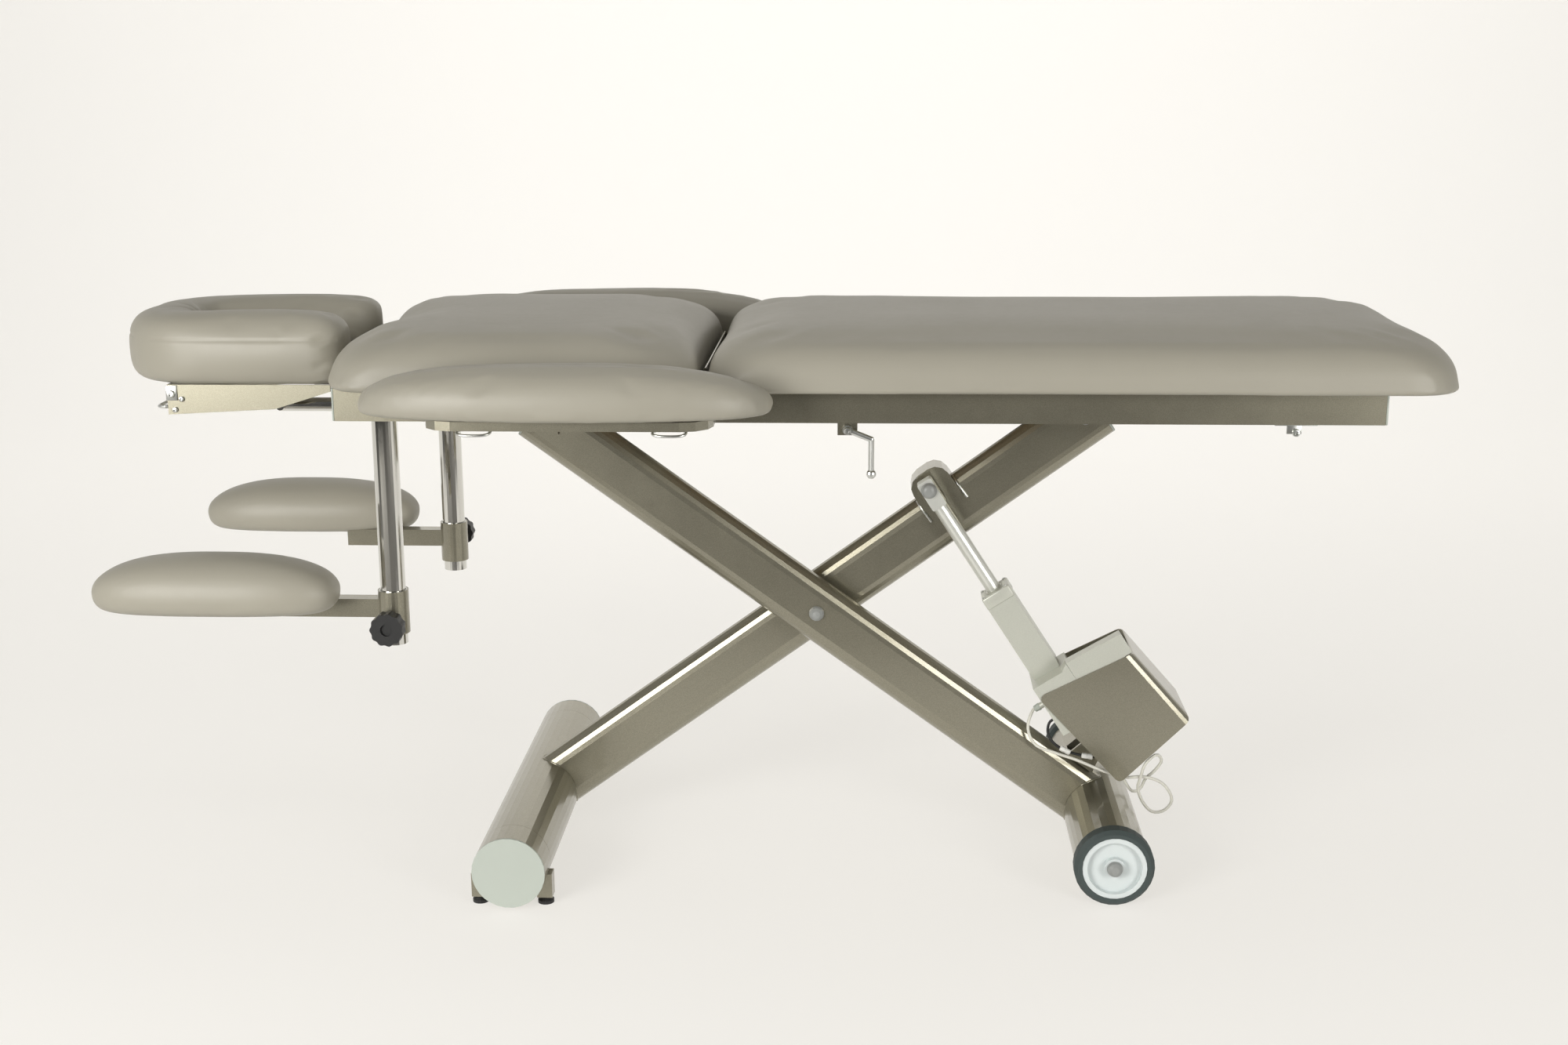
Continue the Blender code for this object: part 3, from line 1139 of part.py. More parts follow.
def wing_pieces():
    """Side wings: a half-moon cushion on a tray that reaches in to the rail."""
    for label, side in (("near", -1), ("far", 1)):
        middle_x = PIVOT_X + WING_X
        lift = WING_LIFTS[label]
        hold = carrier(f"wing_{label}_body", (middle_x, side * RAIL_OUT_Y, TRAY_TOP + lift))
        depth = WING_OUT_Y - WING_IN_Y
        bm = bow_pillow(middle_x, WING_IN_Y, side, WING_BOTTOM + lift, WING_HALF_X, depth, WING_THICK,
                        (WING_EDGE, WING_EDGE, TOP_FOOT_EDGE), WING_CROWN)
        piece(f"wing_cushion_{label}", bm, VINYL, hold)
        inner, outer = side * (RAIL_OUT_Y + GAP), side * WING_TRAY_OUT_Y
        corners = [(-WING_TRAY_HALF_X, inner), (WING_TRAY_HALF_X, inner), (WING_TRAY_HALF_X, outer),
                   (-WING_TRAY_HALF_X, outer)]
        if side < 0:
            corners = corners[::-1]
        frame = Matrix.Translation((PIVOT_X + WING_TRAY_X, 0, TRAY_TOP - WING_TRAY_H + lift))
        tray = prism(rounded(corners, WING_TRAY_CORNER), WING_TRAY_H, frame)
        piece(f"wing_tray_{label}", tray, PAINT, hold)


def lever_pieces():
    """Bent release lever with a ball end, beside its plate under the near rail."""
    hold = carrier("release_lever_body", LEVER_AXIS)
    y = LEVER_Y - GAP - LEVER_R
    start = Vector((LEVER_AXIS.x, y, LEVER_AXIS.z))
    knee = start + Vector((LEVER_ARM_X, 0, -LEVER_ARM_Z))
    ball = knee - Vector((0, 0, LEVER_HANG))
    lever = piece("release_lever", rod(start, knee, LEVER_R, LEVER_STEPS), ZINC, hold)
    profile = dome(LEVER_R, -LEVER_R, 0)[::-1] + dome(LEVER_R, LEVER_R, 0)[1:]
    weld(lever, turned(profile, knee, (0, 0, 1), LEVER_STEPS))
    weld(lever, rod(knee, ball, LEVER_R, LEVER_STEPS))
    profile = dome(LEVER_BALL_R, -LEVER_BALL_R, 0)[::-1] + dome(LEVER_BALL_R, LEVER_BALL_R, 0)[1:]
    weld(lever, turned(profile, ball, (0, 0, 1), LEVER_STEPS))
    thick = Vector((0, LEVER_R, 0))
    weld(lever, rod(start - thick, start + thick, LEVER_BALL_R, LEVER_STEPS))


def horseshoe(bottom):
    """Ring stack of the face cushion: a soft section carried round three sides of the face hole."""
    width = HEAD_HALF_Y - HEAD_SLOT_Y
    track_y = (HEAD_HALF_Y + HEAD_SLOT_Y) / 2
    left = PIVOT_X - HEAD_LEFT_REACH + width / 2
    right = PIVOT_X - HEAD_RIGHT_REACH
    bend = HEAD_CORNER - HEAD_CORNER_TRIM
    path = []
    for share in TIP_SHARES:
        path.append(((right - width / 2 * share, -track_y), (-1, 0), math.sqrt(1 - (1 - share) ** 2)))
    path.append(((left + bend, -track_y), (-1, 0), 1.0))
    for step in range(1, CORNER_STEPS + 1):
        angle = math.pi / 2 * step / CORNER_STEPS
        spot = (left + bend - bend * math.sin(angle), -track_y + bend - bend * math.cos(angle))
        path.append((spot, (-math.cos(angle), math.sin(angle)), 1.0))
    mirrored = [((x, -y), (-heading[0], heading[1]), size) for (x, y), heading, size in reversed(path)]
    rings = []
    for (x, y), heading, size in path + mirrored:
        ring = []
        for step in range(HEAD_RING_STEPS):
            angle = FULL_TURN * step / HEAD_RING_STEPS
            wide = math.copysign(abs(math.cos(angle)) ** HEAD_ROUND_SHARE, math.cos(angle)) * size * width / 2
            tall = math.copysign(abs(math.sin(angle)) ** HEAD_ROUND_SHARE, math.sin(angle)) * HEAD_THICK / 2
            tall *= TIP_HEIGHT_SHARE + (1 - TIP_HEIGHT_SHARE) * size
            ring.append((x - heading[1] * wide, y + heading[0] * wide, bottom + HEAD_THICK / 2 + tall))
        rings.append(ring)
    return loft(rings)


def headrest_pieces():
    """Sliding tubes, tilting tray, face cushion and the wire release loop."""
    slide = carrier("head_slide_body", (PIVOT_X - HEAD_CROSS_REACH, 0, HEAD_TUBE_Z))
    half_rod = HEAD_TRAY_Y - HEAD_TRAY_WALL - GAP
    inner = Vector((PIVOT_X - HEAD_TUBE_IN, HEAD_TUBE_Y, HEAD_TUBE_Z))
    across = Vector((0, 2 * HEAD_TUBE_Y, 0))
    tubes = piece("head_tubes", rod(inner - across, inner, HEAD_TUBE_R - GAP), CHROME, slide)
    for side in (-1, 1):
        start = HEAD_HINGE + Vector((0, side * HEAD_TUBE_Y, 0))
        end = Vector((inner.x + HEAD_TUBE_R, side * HEAD_TUBE_Y, HEAD_TUBE_Z))
        weld(tubes, rod(start, end, HEAD_TUBE_R))
        inset = start + (end - start).normalized() * HEAD_ROD_R
        stub = Vector((0, side * (half_rod - HEAD_TUBE_Y), 0))
        weld(tubes, rod(inset, inset + stub, HEAD_ROD_R - GAP))

    tilt = carrier("head_tilt_body", HEAD_HINGE)
    left, right = PIVOT_X - HEAD_TRAY_LEFT, PIVOT_X - HEAD_TRAY_RIGHT
    top = HEAD_BOTTOM - GAP
    knee = left + HEAD_TRAY_FALL
    side_view = [(left, top), (left, top - HEAD_TRAY_DEEP), (knee, top - HEAD_TRAY_SHALLOW),
                 (right, top - HEAD_TRAY_TIP), (right, top)]
    frame = frame_of((0, HEAD_TRAY_Y, 0), (1, 0, 0), (0, 0, 1))
    tray = piece("head_tray", prism(side_view, 2 * HEAD_TRAY_Y, frame), PAINT, tilt)
    inner_y = HEAD_TRAY_Y - HEAD_TRAY_WALL
    cut(tray, block((left + HEAD_TRAY_WALL, -inner_y, top - HEAD_TRAY_DEEP - OVERRUN),
                    (right + OVERRUN, inner_y, top + OVERRUN)))
    piece("head_cushion", horseshoe(HEAD_BOTTOM), VINYL, tilt)

    loop_z = top - HEAD_TRAY_DEEP + HEAD_LOOP_RISE
    hold = carrier("release_loop_body", (left, 0, loop_z))
    near = left - GAP - LOOP_R
    tip = left - LOOP_OUT
    corners = [(near, -LOOP_HALF_Y), (tip, -LOOP_HALF_Y), (tip, LOOP_HALF_Y), (near, LOOP_HALF_Y)]
    outer = rounded(corners, LOOP_BEND, CORNER_STEPS)
    wire_loop("release_loop", outer, loop_z, hold)


def wire_loop(name, plan, height, parent):
    """Closed wire bent to a plan."""
    curve = bpy.data.curves.new(name, "CURVE")
    curve.dimensions = "3D"
    curve.bevel_depth = LOOP_R
    curve.bevel_resolution = 2
    spline = curve.splines.new("POLY")
    spline.points.add(len(plan) - 1)
    for point, (x, y) in zip(spline.points, plan):
        spot = Vector((x, y, height)) - parent.location
        point.co = (*spot, 1.0)
    spline.use_cyclic_u = True
    curve.materials.append(ZINC)
    item = bpy.data.objects.new(name, curve)
    bpy.context.collection.objects.link(item)
    item.parent = parent


def knob(place, side):
    """Lobed clamp knob with a recessed middle and a stem."""
    points = []
    for step in range(KNOB_STEPS):
        angle = FULL_TURN * step / KNOB_STEPS
        radius = KNOB_R - KNOB_LOBE * (1 - math.cos(KNOB_LOBES * angle)) / 2
        points.append((radius * math.cos(angle), radius * math.sin(angle)))
    first = Vector((side, 0, 0))
    frame = frame_of(place, first, (0, 0, 1))
    return prism(points, -KNOB_L, frame)


def armrest_pieces():
    """Armrests: a collar with its bar and plate on each post, a pad and a clamp knob."""
    for label, side in (("near", -1), ("far", 1)):
        post = Vector((PIVOT_X - POST_REACH, side * RAIL_Y, 0))
        height = carrier(f"armrest_bush_{label}_body", post + Vector((0, 0, COLLAR_BOTTOM)))
        bore, skin = POST_R + RUNNING_GAP, POST_R + RUNNING_GAP + BUSH_WALL
        low, high = post + Vector((0, 0, COLLAR_BOTTOM)), post + Vector((0, 0, COLLAR_TOP))
        piece(f"armrest_bush_{label}", pipe(low, high, skin, bore), ZINC, height)
        swivel = carrier(f"armrest_{label}_body", post + Vector((0, 0, COLLAR_TOP)))
        sleeve = piece(f"armrest_collar_{label}", rod(low, high, COLLAR_R, ROUND_STEPS), PAINT, swivel)
        bar_low = BAR_TOP - BAR_H
        weld(sleeve, block((post.x - COLLAR_R - BAR_L, post.y - BAR_W / 2, bar_low),
                           (post.x, post.y + BAR_W / 2, BAR_TOP)))
        pad_mid = PIVOT_X - (PAD_LEFT_REACH + PAD_RIGHT_REACH) / 2
        pad_y = side * (PAD_IN_Y + PAD_OUT_Y) / 2
        edges = sorted((side * PAD_PLATE_IN_Y, side * (PAD_IN_Y + PAD_OUT_Y - PAD_PLATE_IN_Y)))
        weld(sleeve, block((pad_mid - PAD_PLATE_L / 2, edges[0], BAR_TOP - PAD_PLATE_LAP),
                           (pad_mid + PAD_PLATE_L / 2, edges[1], BAR_TOP + PAD_PLATE_H)))
        past = Vector((0, 0, OVERRUN))
        cut(sleeve, rod(low - past, high + past, skin + GAP, ROUND_STEPS))
        bottom = BAR_TOP + PAD_PLATE_H + GAP - PAD_SINK
        half_x = (PAD_LEFT_REACH - PAD_RIGHT_REACH) / 2
        half_y = (PAD_OUT_Y - PAD_IN_Y) / 2
        pad = oval_pillow((pad_mid, pad_y, bottom), half_x, half_y, PAD_THICK, PAD_FOOT_EDGE)
        cushion = piece(f"armrest_pad_{label}", pad, VINYL, swivel)
        cut(cushion, block((pad_mid - PAD_PLATE_L / 2 - GAP, edges[0] - GAP, bottom - OVERRUN),
                           (pad_mid + PAD_PLATE_L / 2 + GAP, edges[1] + GAP, BAR_TOP + PAD_PLATE_H + GAP)))
        cut(cushion, block((pad_mid, post.y - BAR_W / 2 - GAP, bottom - OVERRUN),
                           (post.x, post.y + BAR_W / 2 + GAP, BAR_TOP + GAP)))

        face = post + Vector((0, side * (COLLAR_R + GAP), COLLAR_TOP - KNOB_DROPS[label]))
        turn = carrier(f"knob_{label}_body", face)
        back = face + Vector((0, side * KNOB_STEM_L, 0))
        grip = piece(f"clamp_knob_{label}", knob(back, side), BLACK, turn)
        out = Vector((0, side, 0))
        weld(grip, rod(face, back + out * KNOB_RECESS, KNOB_STEM_R))
        cut(grip, rod(back + out * (KNOB_L - KNOB_RECESS), back + out * (KNOB_L + OVERRUN), KNOB_RECESS_R))


base_pieces()
lift_arm_pieces()
roller_pieces()
wheel_arm_pieces()
wheel_pieces()
ACTUATOR = actuator_pieces()
cord_pieces(ACTUATOR)
rod_pieces()
TOP = top_pieces()
LEG = leg_section_pieces()
spring_pieces(LEG)
wing_pieces()
lever_pieces()
headrest_pieces()
armrest_pieces()
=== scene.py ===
"""Looks of an electric massage table: upholstery, metal finishes, trim, cord, stage and camera."""

import json
import math

import bmesh
import bpy
from bpy.props import FloatProperty, FloatVectorProperty, PointerProperty
from bpy.types import Operator, Panel, PropertyGroup
from mathutils import Matrix, Vector, noise


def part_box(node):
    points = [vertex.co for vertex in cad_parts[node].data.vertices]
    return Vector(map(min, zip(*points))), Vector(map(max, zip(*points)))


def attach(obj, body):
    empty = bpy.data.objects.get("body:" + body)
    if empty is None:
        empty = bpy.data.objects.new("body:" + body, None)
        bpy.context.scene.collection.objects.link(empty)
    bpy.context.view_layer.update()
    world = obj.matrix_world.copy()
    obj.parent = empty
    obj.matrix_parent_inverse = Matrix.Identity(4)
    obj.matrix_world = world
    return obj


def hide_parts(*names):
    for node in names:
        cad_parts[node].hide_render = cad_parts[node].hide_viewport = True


bl_info = {
    "name": "Massage table looks",
    "version": (1, 0, 0),
    "blender": (4, 5, 0),
    "location": "3D View > Sidebar > Massage table",
    "description": "Upholstery, finishes, trim, cord, stage and camera of a massage table",
    "category": "Object",
}

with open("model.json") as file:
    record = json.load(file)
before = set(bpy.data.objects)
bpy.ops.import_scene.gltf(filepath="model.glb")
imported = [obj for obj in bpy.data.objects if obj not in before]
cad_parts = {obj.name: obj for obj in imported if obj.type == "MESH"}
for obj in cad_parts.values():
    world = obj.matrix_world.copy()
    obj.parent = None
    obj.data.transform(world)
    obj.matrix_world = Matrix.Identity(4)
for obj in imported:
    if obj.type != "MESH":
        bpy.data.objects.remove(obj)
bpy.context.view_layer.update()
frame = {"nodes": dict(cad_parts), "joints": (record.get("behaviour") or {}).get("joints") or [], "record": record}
NODES = frame["nodes"]
JOINTS = {joint["name"]: joint for joint in frame["joints"]}


def low_of(node):
    return Vector(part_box(node)[0])


def high_of(node):
    return Vector(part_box(node)[1])


FOOT_AXIS = Vector(JOINTS["lift"]["pos_m"])
PIVOT = Vector(JOINTS["scissor"]["pos_m"])
REAR_PIN = Vector(JOINTS["actuator_swing"]["pos_m"])
ROD_AXIS = Vector(JOINTS["actuator_extend"]["axis"]).normalized()
ROD_SIDE = Vector((ROD_AXIS.z, 0.0, -ROD_AXIS.x))
PIVOT_X = PIVOT.x
ARM_ALONG = (PIVOT - FOOT_AXIS).normalized()
WHEEL_AXIS = Vector(JOINTS["wheel_near_roll"]["pos_m"])
RAIL_Z = high_of("rail_near").z
RAIL_UNDER_Z = low_of("rail_far").z
FULL_TURN = 2 * math.pi
QUARTER_TURN = math.pi / 2
ARM_DEPTH = 0.096
ACTUATOR_Y = -0.028
PAPER_TINT = (1.0, 0.985, 0.955)


def at(x, y, z):
    """A place measured from the scissor's pivot along the table."""
    return Vector((PIVOT_X + x, y, z))


# Shader node groups


def new_group(name, inputs, outputs):
    group = bpy.data.node_groups.new(name, "ShaderNodeTree")
    for label, kind, value in inputs:
        socket = group.interface.new_socket(name=label, in_out="INPUT", socket_type=kind)
        if value is not None:
            socket.default_value = value
    for label, kind in outputs:
        group.interface.new_socket(name=label, in_out="OUTPUT", socket_type=kind)
    inner = group.nodes.new("NodeGroupInput")
    outer = group.nodes.new("NodeGroupOutput")
    return group, inner, outer


def maths(tree, operation, first, second=None, third=None, clamp=False):
    node = tree.nodes.new("ShaderNodeMath")
    node.operation = operation
    node.use_clamp = clamp
    for socket, value in zip(node.inputs, (first, second, third)):
        if isinstance(value, bpy.types.NodeSocket):
            tree.links.new(value, socket)
        elif value is not None:
            socket.default_value = value
    return node.outputs[0]


def noise_at(tree, vector, scale, detail=3.0, roughness=0.5):
    node = tree.nodes.new("ShaderNodeTexNoise")
    node.inputs["Detail"].default_value = detail
    node.inputs["Roughness"].default_value = roughness
    tree.links.new(vector, node.inputs["Vector"])
    if isinstance(scale, bpy.types.NodeSocket):
        tree.links.new(scale, node.inputs["Scale"])
    else:
        node.inputs["Scale"].default_value = scale
    return node.outputs["Fac"]


def grain_group():
    """Fine cells and pores of moulded or grained skin, with a slow tone change."""
    group, inner, outer = new_group(
        "fine_grain",
        (("Vector", "NodeSocketVector", None), ("Cell", "NodeSocketFloat", 900.0),
         ("Pores", "NodeSocketFloat", 0.35), ("Mottle", "NodeSocketFloat", 7.0)),
        (("Height", "NodeSocketFloat"), ("Tone", "NodeSocketFloat")))
    cells = group.nodes.new("ShaderNodeTexVoronoi")
    cells.feature = "DISTANCE_TO_EDGE"
    group.links.new(inner.outputs["Vector"], cells.inputs["Vector"])
    group.links.new(inner.outputs["Cell"], cells.inputs["Scale"])
    ridge = maths(group, "MULTIPLY", cells.outputs["Distance"], 2.4, clamp=True)
    double = maths(group, "MULTIPLY", inner.outputs["Cell"], 2.2)
    pores = noise_at(group, inner.outputs["Vector"], double, 2.0)
    deep = maths(group, "MULTIPLY", pores, inner.outputs["Pores"])
    height = maths(group, "SUBTRACT", ridge, deep)
    group.links.new(height, outer.inputs["Height"])
    mottle = noise_at(group, inner.outputs["Vector"], inner.outputs["Mottle"], 4.0)
    group.links.new(mottle, outer.inputs["Tone"])
    return group


def flake_group():
    """Metal flake in a painted coat, with the slight orange peel of the coat itself."""
    group, inner, outer = new_group(
        "paint_flake",
        (("Vector", "NodeSocketVector", None), ("Flake", "NodeSocketFloat", 1800.0),
         ("Peel", "NodeSocketFloat", 160.0)),
        (("Height", "NodeSocketFloat"), ("Sparkle", "NodeSocketFloat")))
    cells = group.nodes.new("ShaderNodeTexVoronoi")
    group.links.new(inner.outputs["Vector"], cells.inputs["Vector"])
    group.links.new(inner.outputs["Flake"], cells.inputs["Scale"])
    split = group.nodes.new("ShaderNodeSeparateColor")
    group.links.new(cells.outputs["Color"], split.inputs["Color"])
    group.links.new(split.outputs["Red"], outer.inputs["Sparkle"])
    peel = noise_at(group, inner.outputs["Vector"], inner.outputs["Peel"], 2.0)
    group.links.new(peel, outer.inputs["Height"])
    return group


def handling_group():
    """Faint smears and dust of use, as a mask from 0 to 1."""
    group, inner, outer = new_group(
        "handling",
        (("Vector", "NodeSocketVector", None), ("Amount", "NodeSocketFloat", 0.3)),
        (("Mask", "NodeSocketFloat"),))
    wide = noise_at(group, inner.outputs["Vector"], 9.0, 5.0, 0.62)
    fine = noise_at(group, inner.outputs["Vector"], 70.0, 4.0, 0.6)
    mixed = maths(group, "MULTIPLY", wide, fine)
    lifted = maths(group, "MULTIPLY_ADD", mixed, 4.0, -0.6, clamp=True)
    group.links.new(maths(group, "MULTIPLY", lifted, inner.outputs["Amount"]), outer.inputs["Mask"])
    return group


GROUPS = {}


def place_group(tree, name, vector, **values):
    node = tree.nodes.new("ShaderNodeGroup")
    node.node_tree = GROUPS[name]
    tree.links.new(vector, node.inputs["Vector"])
    give(node, values)
    return node


def give(node, values):
    """Sets a node's inputs by their labels."""
    for label, value in values.items():
        node.inputs[label].default_value = value


def blend_colour(tree, factor, first, second):
    node = tree.nodes.new("ShaderNodeMix")
    node.data_type = "RGBA"
    tree.links.new(factor, node.inputs["Factor"])
    give(node, {"A": (*first, 1.0), "B": (*second, 1.0)})
    return node.outputs["Result"]


def spread(tree, factor, low, high):
    node = tree.nodes.new("ShaderNodeMapRange")
    tree.links.new(factor, node.inputs["Value"])
    give(node, {"To Min": low, "To Max": high})
    return node.outputs["Result"]


def start_material(name, colour):
    material = bpy.data.materials.new(name)
    material.use_nodes = True
    tree = material.node_tree
    shader = tree.nodes["Principled BSDF"]
    shader.inputs["Base Color"].default_value = (*colour, 1.0)
    material.diffuse_color = (*colour, 1.0)
    place = tree.nodes.new("ShaderNodeTexCoord").outputs["Object"]
    return material, tree, shader, place


def bump_to(tree, shader, height, distance, strength):
    bump = tree.nodes.new("ShaderNodeBump")
    give(bump, {"Distance": distance, "Strength": strength})
    tree.links.new(height, bump.inputs["Height"])
    tree.links.new(bump.outputs["Normal"], shader.inputs["Normal"])


def toned(tree, shader, factor, colour, share):
    """Colour that varies between a darker tone and the given one."""
    dark = tuple(channel * share for channel in colour)
    tree.links.new(blend_colour(tree, factor, dark, colour), shader.inputs["Base Color"])


def handled(tree, shader, place, amount, rough, more):
    """Roughness that rises where hands and dust have been."""
    wear = place_group(tree, "handling", place, Amount=amount)
    tree.links.new(spread(tree, wear.outputs["Mask"], rough, rough + more), shader.inputs["Roughness"])


def stretched(tree, place, scale):
    mapping = tree.nodes.new("ShaderNodeMapping")
    mapping.inputs["Scale"].default_value = scale
    tree.links.new(place, mapping.inputs["Vector"])
    return mapping.outputs["Vector"]


def grained(name, colour, rough, cell=900.0, depth=0.0002, strength=0.25, tone=0.90, amount=0.25, sheen=0.0):
    """Vinyl, rubber or moulded plastic."""
    material, tree, shader, place = start_material(name, colour)
    grain = place_group(tree, "fine_grain", place, Cell=cell)
    toned(tree, shader, grain.outputs["Tone"], colour, tone)
    handled(tree, shader, place, amount, rough, 0.18)
    bump_to(tree, shader, grain.outputs["Height"], depth, strength)
    if sheen:
        shader.inputs["Sheen Weight"].default_value = sheen
    return material


def coated(name, colour, rough, metallic, coat, coat_rough=0.08, flake=0.72):
    """Metallic paint under a clear coat, or plain plated metal where the coat is nought."""
    material, tree, shader, place = start_material(name, colour)
    flakes = place_group(tree, "paint_flake", place)
    toned(tree, shader, flakes.outputs["Sparkle"], colour, flake)
    handled(tree, shader, place, 0.35, rough, 0.12)
    bump_to(tree, shader, flakes.outputs["Height"], 0.0004, 0.10)
    shader.inputs["Metallic"].default_value = metallic
    shader.inputs["Coat Weight"].default_value = coat
    shader.inputs["Coat Roughness"].default_value = coat_rough
    return material


def brushed(name, colour, rough, stretch=(1.0, 1.0, 0.02)):
    """Plated or drawn metal with fine lines along one way."""
    material, tree, shader, place = start_material(name, colour)
    lines = noise_at(tree, stretched(tree, place, stretch), 900.0, 2.0)
    toned(tree, shader, lines, colour, 0.93)
    handled(tree, shader, place, 0.4, rough, 0.10)
    bump_to(tree, shader, lines, 0.00005, 0.12)
    shader.inputs["Metallic"].default_value = 1.0
    return material


def boarded(name, colour):
    """Plywood under the upholstery."""
    material, tree, shader, place = start_material(name, colour)
    lines = noise_at(tree, stretched(tree, place, (1.0, 9.0, 9.0)), 12.0, 8.0, 0.65)
    toned(tree, shader, lines, colour, 0.55)
    bump_to(tree, shader, lines, 0.0003, 0.2)
    shader.inputs["Roughness"].default_value = 0.7
    return material


# Shapes

MATERIALS = {}


def grown(count, steps, place):
    """Closed form grown from one ring of points; place(step, index) says where each point goes."""
    bm = bmesh.new()
    ring = list(bmesh.ops.create_circle(bm, cap_ends=True, segments=count, radius=1.0)["verts"])
    face = bm.faces[:][0]
    for index, vert in enumerate(ring):
        vert.co = place(0, index)
    for step in range(1, steps):
        spots = {tuple(round(value, 7) for value in vert.co): index for index, vert in enumerate(ring)}
        parts = bmesh.ops.extrude_face_region(bm, geom=[face])["geom"]
        face = next(part for part in parts if isinstance(part, bmesh.types.BMFace))
        fresh = [part for part in parts if isinstance(part, bmesh.types.BMVert)]
        ring = sorted(fresh, key=lambda vert: spots[tuple(round(value, 7) for value in vert.co)])
        for index, vert in enumerate(ring):
            vert.co = place(step, index)
    bmesh.ops.recalc_face_normals(bm, faces=bm.faces)
    return bm


def turned(profile, place, axis, steps=48):
    """Shape spun about an axis; the profile lists (radius, distance along it)."""
    bm = bmesh.new()
    verts = [bm.verts.new((radius, 0.0, height)) for radius, height in profile]
    edges = [bm.edges.new(pair) for pair in zip(verts, verts[1:])]
    bmesh.ops.spin(bm, geom=verts + edges, cent=(0, 0, 0), axis=(0, 0, 1), angle=FULL_TURN, steps=steps,
                   use_merge=True, use_duplicate=False)
    bmesh.ops.remove_doubles(bm, verts=bm.verts, dist=0.00001)
    turn = Vector((0, 0, 1)).rotation_difference(Vector(axis)).to_matrix()
    bmesh.ops.rotate(bm, verts=bm.verts, cent=(0, 0, 0), matrix=turn)
    bmesh.ops.translate(bm, verts=bm.verts, vec=place)
    bmesh.ops.recalc_face_normals(bm, faces=bm.faces)
    return bm


def bevelled_box(low, high, edge, steps=3, turn=None, about=None):
    """Box with soft edges, turned about a point if asked."""
    bm = bmesh.new()
    bmesh.ops.create_cube(bm, size=1.0)
    low, high = Vector(low), Vector(high)
    bmesh.ops.scale(bm, verts=bm.verts, vec=high - low)
    bmesh.ops.bevel(bm, geom=bm.edges[:], offset=edge, segments=steps, profile=0.5, affect="EDGES",
                    material=-1)
    bmesh.ops.translate(bm, verts=bm.verts, vec=(low + high) / 2)
    if turn:
        bmesh.ops.rotate(bm, verts=bm.verts, cent=about or (low + high) / 2, matrix=turn)
    return bm


def merge_shapes(shapes):
    """Several closed shapes in one mesh."""
    whole = bmesh.new()
    for shape in shapes:
        mesh = bpy.data.meshes.new("part")
        shape.to_mesh(mesh)
        shape.free()
        whole.from_mesh(mesh)
        bpy.data.meshes.remove(mesh)
    return whole


def linked(name, data):
    item = bpy.data.objects.new(name, data)
    bpy.context.scene.collection.objects.link(item)
    return item


def show(name, bm, finish, body, replaces=(), sharp=35.0):
    """A finished piece, riding on its body."""
    mesh = bpy.data.meshes.new(name)
    bm.to_mesh(mesh)
    bm.free()
    mesh.materials.append(MATERIALS[finish])
    mesh.shade_smooth()
    mesh.set_sharp_from_angle(angle=math.radians(sharp))
    item = linked(name, mesh)
    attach(item, body)
    if replaces:
        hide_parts(*replaces)
    return item


def wire(name, points, radius, finish, body, closed=False, rounding=4):
    """Bent wire or bead along a line of points."""
    curve = bpy.data.curves.new(name, "CURVE")
    curve.dimensions = "3D"
    curve.bevel_depth = radius
    curve.bevel_resolution = rounding
    curve.use_fill_caps = not closed
    spline = curve.splines.new("POLY")
    spline.points.add(len(points) - 1)
    for point, spot in zip(spline.points, points):
        point.co = (*spot, 1.0)
    spline.use_cyclic_u = closed
    curve.materials.append(MATERIALS[finish])
    item = linked(name, curve)
    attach(item, body)
    return item


def screw_head(place, axis, radius, height):
    """Pan-head screw with a hexagon socket."""
    profile = [(0.0, height * 0.35), (radius * 0.42, height * 0.35), (radius * 0.46, height),
               (radius * 0.78, height * 0.94), (radius * 0.95, height * 0.68), (radius, height * 0.3),
               (radius, 0.0), (0.0, 0.0)]
    return turned(profile, place, axis, 24)


def smooth_path(points, spacing):
    """Even points on a smooth curve through the given ones."""
    spots = [Vector(point) for point in points]
    spots = [spots[0] * 2 - spots[1]] + spots + [spots[-1] * 2 - spots[-2]]
    fine = []
    for p0, p1, p2, p3 in zip(spots, spots[1:], spots[2:], spots[3:]):
        for step in range(40):
            t = step / 40
            fine.append(0.5 * (2 * p1 + (p2 - p0) * t + (2 * p0 - 5 * p1 + 4 * p2 - p3) * t * t
                               + (3 * p1 - p0 - 3 * p2 + p3) * t ** 3))
    fine.append(spots[-2])
    path, last = [fine[0]], fine[0]
    for spot in fine:
        if (spot - last).length >= spacing:
            path.append(spot)
            last = spot
    if (fine[-1] - path[-1]).length > 0.00001:
        path[-1] = fine[-1]
    return path


# Upholstery


def rounded_plan(wide, deep, corner, draws):
    """Rounded rectangle whose four sides pull in between its corners."""
    corner = min(corner, wide * 0.8, deep * 0.8)
    points = []
    for turn, (side_x, side_y) in enumerate(((1, 1), (-1, 1), (-1, -1), (1, -1))):
        middle = (side_x * (wide - corner), side_y * (deep - corner))
        for step in range(10):
            angle = QUARTER_TURN * (turn + step / 10)
            points.append((middle[0] + corner * math.cos(angle), middle[1] + corner * math.sin(angle)))
        length = 2 * ((wide if turn % 2 == 0 else deep) - corner)
        heading = QUARTER_TURN * (turn + 1)
        start = (middle[0] + corner * math.cos(heading), middle[1] + corner * math.sin(heading))
        along = (-math.sin(heading), math.cos(heading))
        for step in range(14):
            share = step / 14
            pull = draws[turn] * math.sin(math.pi * share) ** 2
            points.append((start[0] + along[0] * length * share - math.cos(heading) * pull,
                           start[1] + along[1] * length * share - math.sin(heading) * pull))
    return points


